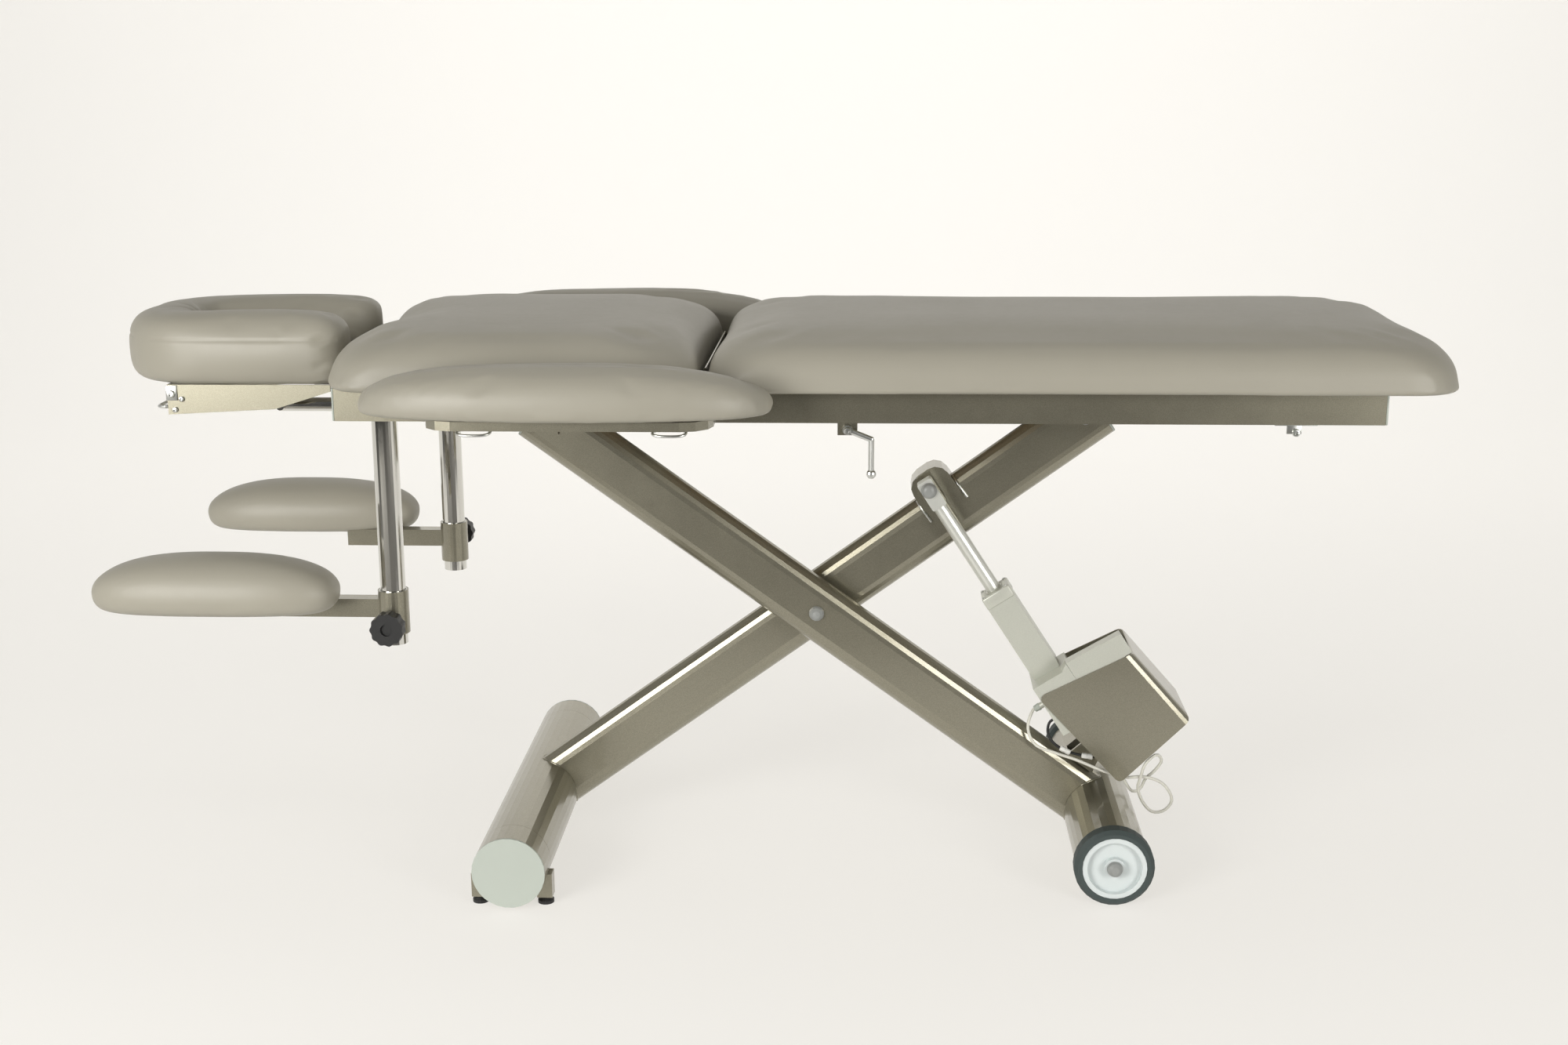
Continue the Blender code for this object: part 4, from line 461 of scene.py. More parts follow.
def half_moon_plan(half_x, depth, side, inset):
    """Straight inner side and a bowed outer one."""
    wide, deep = half_x - inset, depth - 2 * inset
    points = []
    for step in range(61):
        angle = math.pi * step / 60
        points.append((wide * math.cos(angle), side * (inset + deep * math.sin(angle) ** 0.55)))
    points += [(-wide * (1 - 2 * step / 24), side * inset) for step in range(1, 24)]
    return points


def edge_rings(thick, run, rise, foot, crown, reach):
    """Insets and heights from the underside, round the foot, up the side and over to the crown."""
    rings = [(foot * (1 - math.sin(QUARTER_TURN * step / 5)), foot * (1 - math.cos(QUARTER_TURN * step / 5)))
             for step in range(6)]
    body = thick - crown
    start = body - rise
    rings += [(0.0, foot + (start - foot) * step / 4) for step in range(1, 4)]
    for step in range(13):
        angle = QUARTER_TURN * step / 12
        rings.append((run * (1 - math.cos(angle)), start + rise * math.sin(angle)))
    for step in range(1, 9):
        rings.append((run + (reach - run) * step / 8, body + crown * math.sin(QUARTER_TURN * step / 8)))
    return rings


def remeshed(item, voxel):
    """Even quads over the form, taken from a Remesh modifier's result."""
    modifier = item.modifiers.new("even", "REMESH")
    modifier.mode = "VOXEL"
    modifier.voxel_size = voxel
    bake_modifiers(item)


def bake_modifiers(item):
    graph = bpy.context.evaluated_depsgraph_get()
    graph.update()
    fresh = bpy.data.meshes.new_from_object(item.evaluated_get(graph))
    old = item.data
    item.modifiers.clear()
    item.data = fresh
    bpy.data.meshes.remove(old)


def puffed(item, floor_z, pressure, cap):
    """Fills the cover with air as a cloth, then holds every point near its start."""
    start = [vert.co.copy() for vert in item.data.vertices]
    pins = item.vertex_groups.new(name="held")
    pins.add([index for index, spot in enumerate(start) if spot.z < floor_z + 0.010], 1.0, "REPLACE")
    cloth = item.modifiers.new("cover", "CLOTH")
    settings = cloth.settings
    settings.quality = 4
    settings.mass = 0.35
    settings.tension_stiffness = 18
    settings.compression_stiffness = 18
    settings.bending_stiffness = 1.2
    settings.use_pressure = True
    settings.uniform_pressure_force = pressure
    settings.effector_weights.gravity = 0.0
    settings.vertex_group_mass = "held"
    cloth.point_cache.frame_start = 1
    cloth.point_cache.frame_end = 20
    scene = bpy.context.scene
    for step in range(1, 21):
        scene.frame_set(step)
    graph = bpy.context.evaluated_depsgraph_get()
    moved = [vert.co.copy() for vert in item.evaluated_get(graph).data.vertices]
    item.modifiers.clear()
    item.vertex_groups.clear()
    scene.frame_set(1)
    for vert, old, new in zip(item.data.vertices, start, moved):
        shift = new - old
        if shift.length > cap:
            shift *= cap / shift.length
        vert.co = old + shift
    item.data.update()


def fitted(item, form):
    """Lays the even mesh back on the form that it was made from."""
    target = linked("form", form)
    wrap = item.modifiers.new("wrap", "SHRINKWRAP")
    wrap.wrap_method = "NEAREST_SURFACEPOINT"
    wrap.target = target
    bake_modifiers(item)
    bpy.data.objects.remove(target)
    bpy.data.meshes.remove(form)


def softened(item, rounds):
    """Evens out the sharp steps that a remesh leaves."""
    bm = bmesh.new()
    bm.from_mesh(item.data)
    for _ in range(rounds):
        bmesh.ops.smooth_vert(bm, verts=bm.verts, factor=0.5, use_axis_x=True, use_axis_y=True,
                              use_axis_z=True)
    bm.to_mesh(item.data)
    bm.free()


def upholstered(name, bm, node, body, voxel, cap, detail=None, pressure=4.0):
    """Cushion: even mesh, air, one subdivision, then its seams and creases."""
    item = show(name, bm, "vinyl", body, (node,), 80.0)
    floor_z = low_of(node).z
    form = item.data.copy()
    remeshed(item, voxel)
    softened(item, 2)
    fitted(item, form)
    puffed(item, floor_z, pressure, cap)
    softened(item, 2)
    finer = item.modifiers.new("finer", "SUBSURF")
    finer.levels = finer.render_levels = 1
    bake_modifiers(item)
    if detail:
        spots = [(vert.co.copy(), vert.normal.copy()) for vert in item.data.vertices]
        for vert, (spot, normal) in zip(item.data.vertices, spots):
            vert.co = detail(spot, normal)
    for vert in item.data.vertices:
        vert.co.z = max(vert.co.z, floor_z)
    item.data.shade_smooth()
    item.data.update()
    return item


def block_cushion(name, node, body, voxel, stretch, head_draw, detail=None):
    """Section of the lying surface; its ends reach on by the two lengths of stretch."""
    low, high = low_of(node), high_of(node)
    low.x -= stretch[0]
    high.x += stretch[1]
    middle = (low + high) / 2
    half_x, half_y = (high.x - low.x) / 2, (high.y - low.y) / 2 - 0.0005
    thick = high.z - low.z
    rings = edge_rings(thick, 0.055, 0.060, 0.0105, 0.009, min(half_x, half_y) * 0.8)
    plans = [rounded_plan(half_x - inset, half_y - inset, 0.070 + 0.035 * height / thick,
                          (0.004, head_draw, 0.004, 0.004)) for inset, height in rings]

    def place(step, index):
        x, y = plans[step][index]
        return Vector((middle.x + x, middle.y + y, low.z + rings[step][1]))

    bm = grown(len(plans[0]), len(rings), place)
    return upholstered(name, bm, node, body, voxel, 0.006, detail)


def oval_cushion(name, node, body):
    """Armrest pad: a rounded oblong that closes evenly towards its crown."""
    low, high = low_of(node), high_of(node)
    middle = (low + high) / 2
    half_x, half_y, thick = (high.x - low.x) / 2, (high.y - low.y) / 2, high.z - low.z
    foot = 0.026
    sizes = []
    for step in range(7):
        angle = QUARTER_TURN * step / 7
        inset = foot * (1 - math.sin(angle))
        sizes.append((half_x - inset, half_y - inset, foot * (1 - math.cos(angle))))
    for step in range(19):
        angle = math.radians(86.0) * step / 18
        share = math.cos(angle) ** (2 / 2.3)
        sizes.append((half_x * share, half_y * share, foot + (thick - foot) * math.sin(angle) ** (2 / 2.3)))

    def place(step, index):
        angle = FULL_TURN * index / 72
        wide, deep, height = sizes[step]
        x = math.copysign(abs(math.cos(angle)) ** (2 / 2.8), math.cos(angle)) * wide
        y = math.copysign(abs(math.sin(angle)) ** (2 / 2.8), math.sin(angle)) * deep
        return Vector((middle.x + x, middle.y + y, low.z + height))

    return upholstered(name, grown(72, len(sizes), place), node, body, 0.0055, 0.003)


def wing_cushion(name, node, body, side):
    """Half-moon wing that thins towards its two tips."""
    low, high = low_of(node), high_of(node)
    middle_x = (low.x + high.x) / 2
    half_x, depth = (high.x - low.x) / 2, high.y - low.y - 0.001
    inner = low.y + 0.0005 if side > 0 else high.y - 0.0005
    thick = high.z - low.z
    rings = edge_rings(thick, 0.034, 0.036, 0.0105, 0.008, depth * 0.42)
    plans = [half_moon_plan(half_x, depth, side, inset) for inset, _ in rings]

    def place(step, index):
        x, y = plans[step][index]
        thin = 1 - 0.5 * min(abs(x) / half_x, 1) ** 3.5
        return Vector((middle_x + x, inner + y, low.z + rings[step][1] * thin))

    bm = grown(len(plans[0]), len(rings), place)
    return upholstered(name, bm, node, body, 0.006, 0.004)


def face_cushion(name, node, body):
    """Horseshoe round the face hole, with a sewn line along its upper edge and creases at its bend."""
    low, high = low_of(node), high_of(node)
    half_y = high.y
    slot_y = 0.051
    width = half_y - slot_y
    track = (half_y + slot_y) / 2
    thick = high.z - low.z
    left = low.x + width / 2
    right = high.x
    bend = 0.080
    stations = []
    for step in range(9):
        share = math.sin(QUARTER_TURN * (step + 0.5) / 9)
        size = math.sqrt(max(1 - (1 - share) ** 2, 0.02))
        stations.append((right - width * 0.42 * share, -track, -1.0, 0.0, size))
    for step in range(10):
        x = right - width * 0.42 - (right - width * 0.42 - left - bend) * (step + 1) / 10
        stations.append((x, -track, -1.0, 0.0, 1.0))
    for step in range(1, 11):
        angle = QUARTER_TURN * step / 10
        stations.append((left + bend - bend * math.sin(angle), -track + bend - bend * math.cos(angle),
                         -math.cos(angle), math.sin(angle), 1.0))
    for step in range(1, 6):
        stations.append((left, (bend - track) * (1 - step / 6), 0.0, 1.0, 1.0))
    stations.append((left, 0.0, 0.0, 1.0, 1.0))
    stations += [(x, -y, -dx, dy, size) for x, y, dx, dy, size in reversed(stations[:-1])]

    def place(step, index):
        x, y, dx, dy, size = stations[step]
        angle = FULL_TURN * index / 40
        wide = math.copysign(abs(math.cos(angle)) ** 0.52, math.cos(angle)) * size * width / 2
        rise = math.copysign(abs(math.sin(angle)) ** 0.58, math.sin(angle))
        tall = rise * thick / 2 * (0.55 + 0.45 * size)
        if rise > 0 and wide > 0:
            tall -= 0.012 * (wide / (width / 2)) ** 2
        if rise > 0 and y < 0:
            tall -= 0.008 * max(1 - (right - x) / 0.060, 0.0) ** 1.5
        return Vector((x - dy * wide, y + dx * wide, low.z + thick / 2 + tall))

    def detail(spot, normal):
        seam = low.z + thick * 0.66
        outside = max(abs(spot.y) - (half_y - 0.02), low.x + 0.03 - spot.x)
        if outside > 0:
            near = math.exp(-((spot.z - seam) / 0.0022) ** 2)
            spot -= normal * 0.0013 * near
        hole = Vector((low.x + width + 0.012, 0.0, 0.0))
        away = Vector((spot.x - hole.x, spot.y, 0.0))
        close = math.exp(-(away.length / 0.075) ** 2)
        folds = math.sin(9 * math.atan2(away.y, away.x) + 2 * noise.noise(spot * 25))
        spot -= normal * 0.0016 * close * max(folds, 0.0)
        tip = math.exp(-((spot.x - (right - 0.035)) / 0.012) ** 2)
        spot -= normal * 0.0030 * tip * max(math.sin(spot.z * 160 + abs(spot.y) * 90), 0.0)
        return spot

    bm = grown(40, len(stations), place)
    return upholstered(name, bm, node, body, 0.0055, 0.006, detail)


class TableSettings(PropertyGroup):
    vinyl_colour: FloatVectorProperty(name="Vinyl", description="Colour of the upholstery", subtype="COLOR",
                                      size=3, min=0, max=1, default=(0.365, 0.345, 0.285))
    paint_colour: FloatVectorProperty(name="Frame paint", description="Colour of the metallic frame paint",
                                      subtype="COLOR", size=3, min=0, max=1, default=(0.345, 0.325, 0.250))
    case_colour: FloatVectorProperty(name="Actuator", description="Colour of the actuator's housing",
                                     subtype="COLOR", size=3, min=0, max=1, default=(0.60, 0.61, 0.54))
    cap_colour: FloatVectorProperty(name="Caps", description="Colour of the plastic end caps",
                                    subtype="COLOR", size=3, min=0, max=1, default=(0.46, 0.50, 0.45))
    weld_radius: FloatProperty(name="Weld bead", description="Radius of the beads at the arms' ends",
                               subtype="DISTANCE", unit="LENGTH", default=0.0016, min=0.0005, max=0.004)
    wire_radius: FloatProperty(name="Clip wire", description="Radius of the wire clips under the wings",
                               subtype="DISTANCE", unit="LENGTH", default=0.0021, min=0.0005, max=0.004)
    screw_radius: FloatProperty(name="Screws", description="Radius of the screw heads on the headrest tray",
                                subtype="DISTANCE", unit="LENGTH", default=0.0062, min=0.002, max=0.012)
    cord_radius: FloatProperty(name="Cord", description="Radius of the control lead", subtype="DISTANCE",
                               unit="LENGTH", default=0.0025, min=0.001, max=0.006)
    lens: FloatProperty(name="Lens", description="Focal length of the camera", unit="CAMERA", default=45.0,
                        min=20.0, max=120.0)
    lamp_power: FloatProperty(name="Lamp", description="Unit that every lamp's power is a share of",
                              unit="POWER", default=60.0, min=1.0, max=400.0)


class TABLE_OT_camera(Operator):
    """Camera at the viewing angle of the picture"""

    bl_idname = "massage_table.camera"
    bl_label = "Camera"

    def execute(self, context):
        data = bpy.data.cameras.new("camera")
        data.lens = context.scene.massage_table.lens
        data.sensor_width = 36.0
        data.clip_end = 60.0
        pitch, yaw, roll = 0.237, 0.0469, 0.0046
        ahead = Vector((-math.sin(yaw) * math.cos(pitch), math.cos(yaw) * math.cos(pitch), -math.sin(pitch)))
        right = Vector((math.cos(yaw), math.sin(yaw), 0.0))
        down = ahead.cross(right)
        side = math.cos(roll) * right + math.sin(roll) * down
        drop = -math.sin(roll) * right + math.cos(roll) * down
        turn = Matrix((side, -drop, -ahead)).transposed().to_4x4()
        camera = linked("camera", data)
        camera.matrix_world = Matrix.Translation(at(0.0919, -3.1288, 1.3001)) @ turn
        context.scene.camera = camera
        return {"FINISHED"}


class TABLE_OT_finishes(Operator):
    """Materials, and the better finish of every node that stays"""

    bl_idname = "massage_table.finishes"
    bl_label = "Finishes"

    def execute(self, context):
        settings = context.scene.massage_table
        GROUPS["fine_grain"] = grain_group()
        GROUPS["paint_flake"] = flake_group()
        GROUPS["handling"] = handling_group()
        vinyl_colour = tuple(settings.vinyl_colour)
        MATERIALS["vinyl"] = grained("vinyl", vinyl_colour, 0.42, 1100.0, 0.00012, 0.30, 0.93, 0.3)
        MATERIALS["paint"] = coated("frame_paint", tuple(settings.paint_colour), 0.30, 0.82, 0.55)
        MATERIALS["case"] = coated("silver_case", tuple(settings.case_colour), 0.38, 0.35, 0.2, 0.2, 0.9)
        MATERIALS["rod"] = brushed("drawn_rod", (0.80, 0.81, 0.76), 0.46)
        MATERIALS["chrome"] = brushed("chrome", (0.74, 0.73, 0.69), 0.06)
        MATERIALS["zinc"] = brushed("zinc", (0.70, 0.71, 0.68), 0.28, (1.0, 0.05, 1.0))
        MATERIALS["cap"] = grained("pale_cap", tuple(settings.cap_colour), 0.50, 700.0, 0.0001, 0.2, 0.95)
        MATERIALS["white"] = grained("white_moulding", (0.76, 0.76, 0.72), 0.42, 800.0, 0.00005, 0.1, 0.96)
        MATERIALS["dome"] = grained("grey_dome", (0.30, 0.31, 0.30), 0.30, 900.0, 0.00005, 0.1, 0.92)
        MATERIALS["black"] = grained("black_moulding", (0.012, 0.012, 0.012), 0.46, 800.0, 0.0002, 0.35, 0.8)
        MATERIALS["gloss_black"] = coated("gloss_black", (0.03, 0.03, 0.03), 0.25, 0.1, 0.6)
        MATERIALS["tyre"] = grained("tyre_rubber", (0.050, 0.068, 0.066), 0.62, 500.0, 0.0002, 0.35, 0.8)
        MATERIALS["hub"] = grained("hub_moulding", (0.66, 0.71, 0.71), 0.36, 600.0, 0.0001, 0.12, 0.96)
        MATERIALS["cord"] = grained("cord_sheath", (0.68, 0.67, 0.60), 0.45, 900.0, 0.00005, 0.15, 0.95)
        MATERIALS["board"] = boarded("board", (0.46, 0.34, 0.20))
        by_slot = {"paint": "paint", "upholstery": "vinyl", "chrome": "chrome", "pale_cap": "cap",
                   "black_plastic": "black", "silver": "case", "gas": "gloss_black", "tyre": "tyre",
                   "hub": "hub", "zinc": "zinc", "wood": "board", "cord": "cord"}
        by_node = {"actuator_rod": "rod", "pivot_bolt": "dome", "wheel_axle": "dome"}
        for part in frame["record"]["subparts"]:
            node = NODES[part["node"]]
            kind = by_node.get(part["node"], by_slot[part["material_slot"]])
            node.data.materials.clear()
            node.data.materials.append(MATERIALS[kind])
        return {"FINISHED"}


class TABLE_OT_cord(Operator):
    """Lead from the actuator's gland to its plug"""

    bl_idname = "massage_table.cord"
    bl_label = "Control lead"

    def execute(self, context):
        radius = context.scene.massage_table.cord_radius
        tip = REAR_PIN + ROD_AXIS * 0.105 - ROD_SIDE * 0.0405 + Vector((0.0, -0.045, 0.0))
        bends = ((0.3480, -0.0560, 0.2124), (0.3601, -0.0660, 0.1866), (0.3929, -0.0760, 0.1759),
                 (0.4261, -0.0790, 0.1657), (0.4710, -0.0790, 0.1468), (0.5066, -0.0790, 0.1366),
                 (0.5387, -0.0770, 0.1366), (0.5696, -0.0720, 0.1235), (0.5860, -0.0700, 0.0961),
                 (0.5758, -0.0690, 0.0765), (0.5552, -0.0700, 0.0730), (0.5387, -0.0720, 0.0903),
                 (0.5288, -0.0770, 0.1160), (0.5316, -0.0830, 0.1378), (0.5381, -0.0850, 0.1617),
                 (0.5559, -0.0800, 0.1765), (0.5663, -0.0720, 0.1631), (0.5558, -0.0660, 0.1429),
                 (0.5431, -0.0615, 0.1280), (0.5346, -0.0600, 0.1094), (0.5202, -0.0600, 0.1062),
                 (0.5030, -0.0630, 0.1348), (0.4962, -0.0680, 0.1507))
        route = [tip - ROD_SIDE * 0.0003, tip - ROD_SIDE * 0.013] + [at(*bend) for bend in bends]
        path = smooth_path(route, 0.006)
        lead = wire("control_lead", path, radius, "cord", "actuator_body", rounding=6)
        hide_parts("control_cord")
        axis = (path[-1] - path[-2]).normalized()
        profile = [(0.0, 0.0), (radius * 1.5, 0.0), (radius * 1.5, 0.002)]
        for step in range(6):
            base = 0.002 + 0.0027 * step
            wide = radius * (1.55 + 0.22 * step)
            profile += [(wide, base), (wide, base + 0.0017), (wide * 0.86, base + 0.0018),
                        (wide * 0.86, base + 0.0026)]
        profile += [(0.0078, 0.0185), (0.0090, 0.0195), (0.0090, 0.0325), (0.0080, 0.0340), (0.0, 0.0340)]
        plug = show("lead_plug", turned(profile, path[-1] + axis * 0.0002, axis), "cap",
                    "actuator_body", ("cord_plug",))
        gland = [(radius + 0.0002, 0.0), (0.0062, 0.0), (0.0062, 0.004), (0.0056, 0.0045), (0.0056, 0.0085),
                 (0.0045, 0.010), (0.0038, 0.0102), (radius + 0.0002, 0.0102), (radius + 0.0002, 0.0)]
        show("lead_gland", turned(gland, tip, -ROD_SIDE), "cap", "actuator_body")
        return {"FINISHED"}


class TABLE_OT_top_cushions(Operator):
    """Torso and leg cushions of the lying surface"""

    bl_idname = "massage_table.top_cushions"
    bl_label = "Lying surface"

    def execute(self, context):
        block_cushion("torso_pad", "torso_cushion", "top_frame_body", 0.0080, (0.0, 0.0021), 0.021)
        block_cushion("leg_pad", "leg_cushion", "leg_section_body", 0.0092, (0.0021, 0.0), 0.004)
        return {"FINISHED"}


class TABLE_OT_wing_cushions(Operator):
    """Half-moon cushions of the two side wings"""

    bl_idname = "massage_table.wing_cushions"
    bl_label = "Wings"

    def execute(self, context):
        wing_cushion("wing_pad_near", "wing_cushion_near", "wing_near_body", -1)
        wing_cushion("wing_pad_far", "wing_cushion_far", "wing_far_body", 1)
        return {"FINISHED"}


class TABLE_OT_arm_pads(Operator):
    """Cushions of the two armrests"""

    bl_idname = "massage_table.arm_pads"
    bl_label = "Armrest pads"

    def execute(self, context):
        for label in ("near", "far"):
            oval_cushion(f"arm_pad_{label}", f"armrest_pad_{label}", f"armrest_{label}_body")
        return {"FINISHED"}


class TABLE_OT_face_cushion(Operator):
    """Open-ended cushion of the headrest"""

    bl_idname = "massage_table.face_cushion"
    bl_label = "Face cushion"

    def execute(self, context):
        face_cushion("face_pad", "head_cushion", "head_tilt_body")
        return {"FINISHED"}


class TABLE_OT_welds(Operator):
    """Weld beads where the arms meet their round tubes and the clevis hood"""

    bl_idname = "massage_table.welds"
    bl_label = "Weld beads"

    def execute(self, context):
        radius = context.scene.massage_table.weld_radius
        tube = high_of("foot_tube").z - FOOT_AXIS.z
        mirrored = Vector((-ARM_ALONG.x, 0, ARM_ALONG.z))
        jobs = (("lift_arm_weld", FOOT_AXIS, ARM_ALONG, "lift_arm", "lift_arm_body"),
                ("wheel_arm_weld", WHEEL_AXIS, mirrored, "wheel_arm", "wheel_arm_body"))
        for name, centre, along, node, body in jobs:
            across = (low_of(node).y + high_of(node).y) / 2
            half_w = (high_of(node).y - low_of(node).y) / 2
            above = Vector((-along.z, 0.0, along.x))
            straight = ARM_DEPTH / 2 - half_w
            points = []
            for side in (1, -1):
                for step in range(25):
                    angle = math.pi * step / 24
                    high = side * (straight + half_w * math.sin(angle))
                    wide = side * half_w * math.cos(angle)
                    reach = math.sqrt(max(tube ** 2 - high ** 2, 0.0)) + 0.0004
                    ripple = 0.00025 * math.sin(step * 2.6)
                    points.append(centre + along * (reach + ripple) + above * high
                                  + Vector((0, across + wide, 0)))
            wire(name, points, radius, "paint", body, closed=True, rounding=3)
        above = Vector((-ARM_ALONG.z, 0.0, ARM_ALONG.x))
        for label, reach in (("low", 0.2705 - 0.0358), ("high", 0.2705 + 0.0358)):
            points = []
            for step in range(17):
                high = 0.045 - 0.040 * step / 16
                y = 0.028 - math.sqrt(0.024 ** 2 - max(high - 0.024, 0.0) ** 2) - 0.0008
                ripple = 0.0004 * math.sin(step * 2.1)
                points.append(PIVOT + ARM_ALONG * (reach + ripple) + above * high + Vector((0.0, y, 0.0)))
            wire(f"hood_weld_{label}", points, radius * 1.5, "zinc", "lift_arm_body",
                 rounding=3)
        return {"FINISHED"}


class TABLE_OT_end_caps(Operator):
    """Plastic caps in the ends of the rails and of the two arms"""

    bl_idname = "massage_table.end_caps"
    bl_label = "End caps"

    def execute(self, context):
        for label, side in (("near", -1), ("far", 1)):
            low, high = low_of(f"rail_{label}"), high_of(f"rail_{label}")
            for end, x, out in (("foot", high.x, 1), ("head", low.x, -1)):
                ends = sorted((x + out * 0.0003, x + out * 0.0033))
                plate = bevelled_box((ends[0], low.y, RAIL_UNDER_Z), (ends[1], high.y, RAIL_Z), 0.0011, 2)
                show(f"rail_cap_{end}_{label}", plate, "cap", "top_frame_body")
        for name, node, sign, body in (("lift_arm_cap", "lift_arm", 1, "lift_arm_body"),
                                       ("wheel_arm_cap", "wheel_arm", -1, "wheel_arm_body")):
            along = Vector((sign * ARM_ALONG.x, 0.0, ARM_ALONG.z))
            above = Vector((-sign * ARM_ALONG.z, 0.0, ARM_ALONG.x))
            middle = PIVOT + along * 0.5603
            middle.y = (low_of(node).y + high_of(node).y) / 2
            half_w = (high_of(node).y - low_of(node).y) / 2
            straight = ARM_DEPTH / 2 - half_w
            insets = ((0.0, 0.0), (0.0, 0.0022), (0.0012, 0.0032), (0.006, 0.0034))

            def place(step, index, middle=middle, along=along, above=above, half_w=half_w, straight=straight):
                inset, out = insets[step]
                side = 1 if index < 20 else -1
                angle = math.pi * (index % 20) / 19
                high = side * (straight + (half_w - inset) * math.sin(angle))
                wide = side * (half_w - inset) * math.cos(angle)
                return middle + along * out + above * high + Vector((0, wide, 0))

            show(name, grown(40, 4, place), "cap", body)
        return {"FINISHED"}


class TABLE_OT_wing_clips(Operator):
    """Wire clips that hold each wing's tray"""

    bl_idname = "massage_table.wing_clips"
    bl_label = "Wing clips"

    def execute(self, context):
        radius = context.scene.massage_table.wire_radius
        for label, side in (("near", -1), ("far", 1)):
            floor_z = low_of(f"wing_tray_{label}").z - radius - 0.0002
            for spot, start in (("left", -0.505), ("right", -0.224)):
                points = []
                for step in range(40):
                    angle = FULL_TURN * step / 40
                    x = 0.024 * math.copysign(abs(math.cos(angle)) ** 0.7, math.cos(angle))
                    y = 0.011 * math.copysign(abs(math.sin(angle)) ** 0.7, math.sin(angle))
                    sag = 0.003 * (1 + math.sin(angle))
                    points.append(at(start + 0.025 + x, side * (0.400 + y), floor_z - sag))
                wire(f"wing_clip_{spot}_{label}", points, radius, "zinc", f"wing_{label}_body",
                     closed=True)
                head = at(start + 0.025, side * 0.389, floor_z + radius)
                show(f"wing_clip_screw_{spot}_{label}", screw_head(head, (0, 0, -1), 0.0045, 0.003),
                     "zinc", f"wing_{label}_body")
        return {"FINISHED"}


class TABLE_OT_tray_screws(Operator):
    """Screws and the small tab on the sides of the headrest tray"""

    bl_idname = "massage_table.tray_screws"
    bl_label = "Headrest screws"

    def execute(self, context):
        radius = context.scene.massage_table.screw_radius
        for label, side in (("near", -1), ("far", 1)):
            face = side * (high_of("head_tray").y + 0.0003)
            spots = ((-1.0125, 0.7770, radius, 0.0022), (-0.9970, 0.7690, radius * 0.72, 0.0),
                     (-1.0085, 0.7520, radius * 0.72, 0.0))
            heads = [screw_head(at(x, face + side * out, z), (0, side, 0), size, 0.0042)
                     for x, z, size, out in spots]
            show(f"tray_screws_{label}", merge_shapes(heads), "zinc", "head_tilt_body")
            tab = bevelled_box(at(-1.0215, min(face, face + side * 0.002), 0.7665),
                               at(-1.0035, max(face, face + side * 0.002), 0.7905), 0.0009, 2)
            show(f"tray_tab_{label}", tab, "zinc", "head_tilt_body")
        return {"FINISHED"}


class TABLE_OT_rail_brackets(Operator):
    """Lever screw, and the small bracket near the foot end of each rail"""

    bl_idname = "massage_table.rail_brackets"
    bl_label = "Rail brackets"

    def execute(self, context):
        for label, side in (("near", -1), ("far", 1)):
            plate = bevelled_box(at(0.685, side * 0.230 - 0.012, RAIL_UNDER_Z - 0.0028),
                                 at(0.748, side * 0.230 + 0.012, RAIL_UNDER_Z - 0.0003), 0.0008, 2)
            lug = bevelled_box(at(0.706, side * 0.226 - 0.0015, RAIL_UNDER_Z - 0.018),
                               at(0.728, side * 0.226 + 0.0015, RAIL_UNDER_Z - 0.0026), 0.0006, 2)
            screw = screw_head(at(0.720, side * 0.2278, RAIL_UNDER_Z - 0.0155), (0, side, 0), 0.0062, 0.005)
            show(f"foot_bracket_{label}", merge_shapes([plate, lug, screw]), "zinc",
                 "top_frame_body")
        lever = JOINTS["lever_pull"]["pos_m"]
        place = Vector((lever[0], low_of("release_lever").y - 0.0002, lever[2]))
        head = screw_head(place, (0, -1, 0), 0.006, 0.004)
        show("lever_screw", head, "zinc", "release_lever_body")
        return {"FINISHED"}


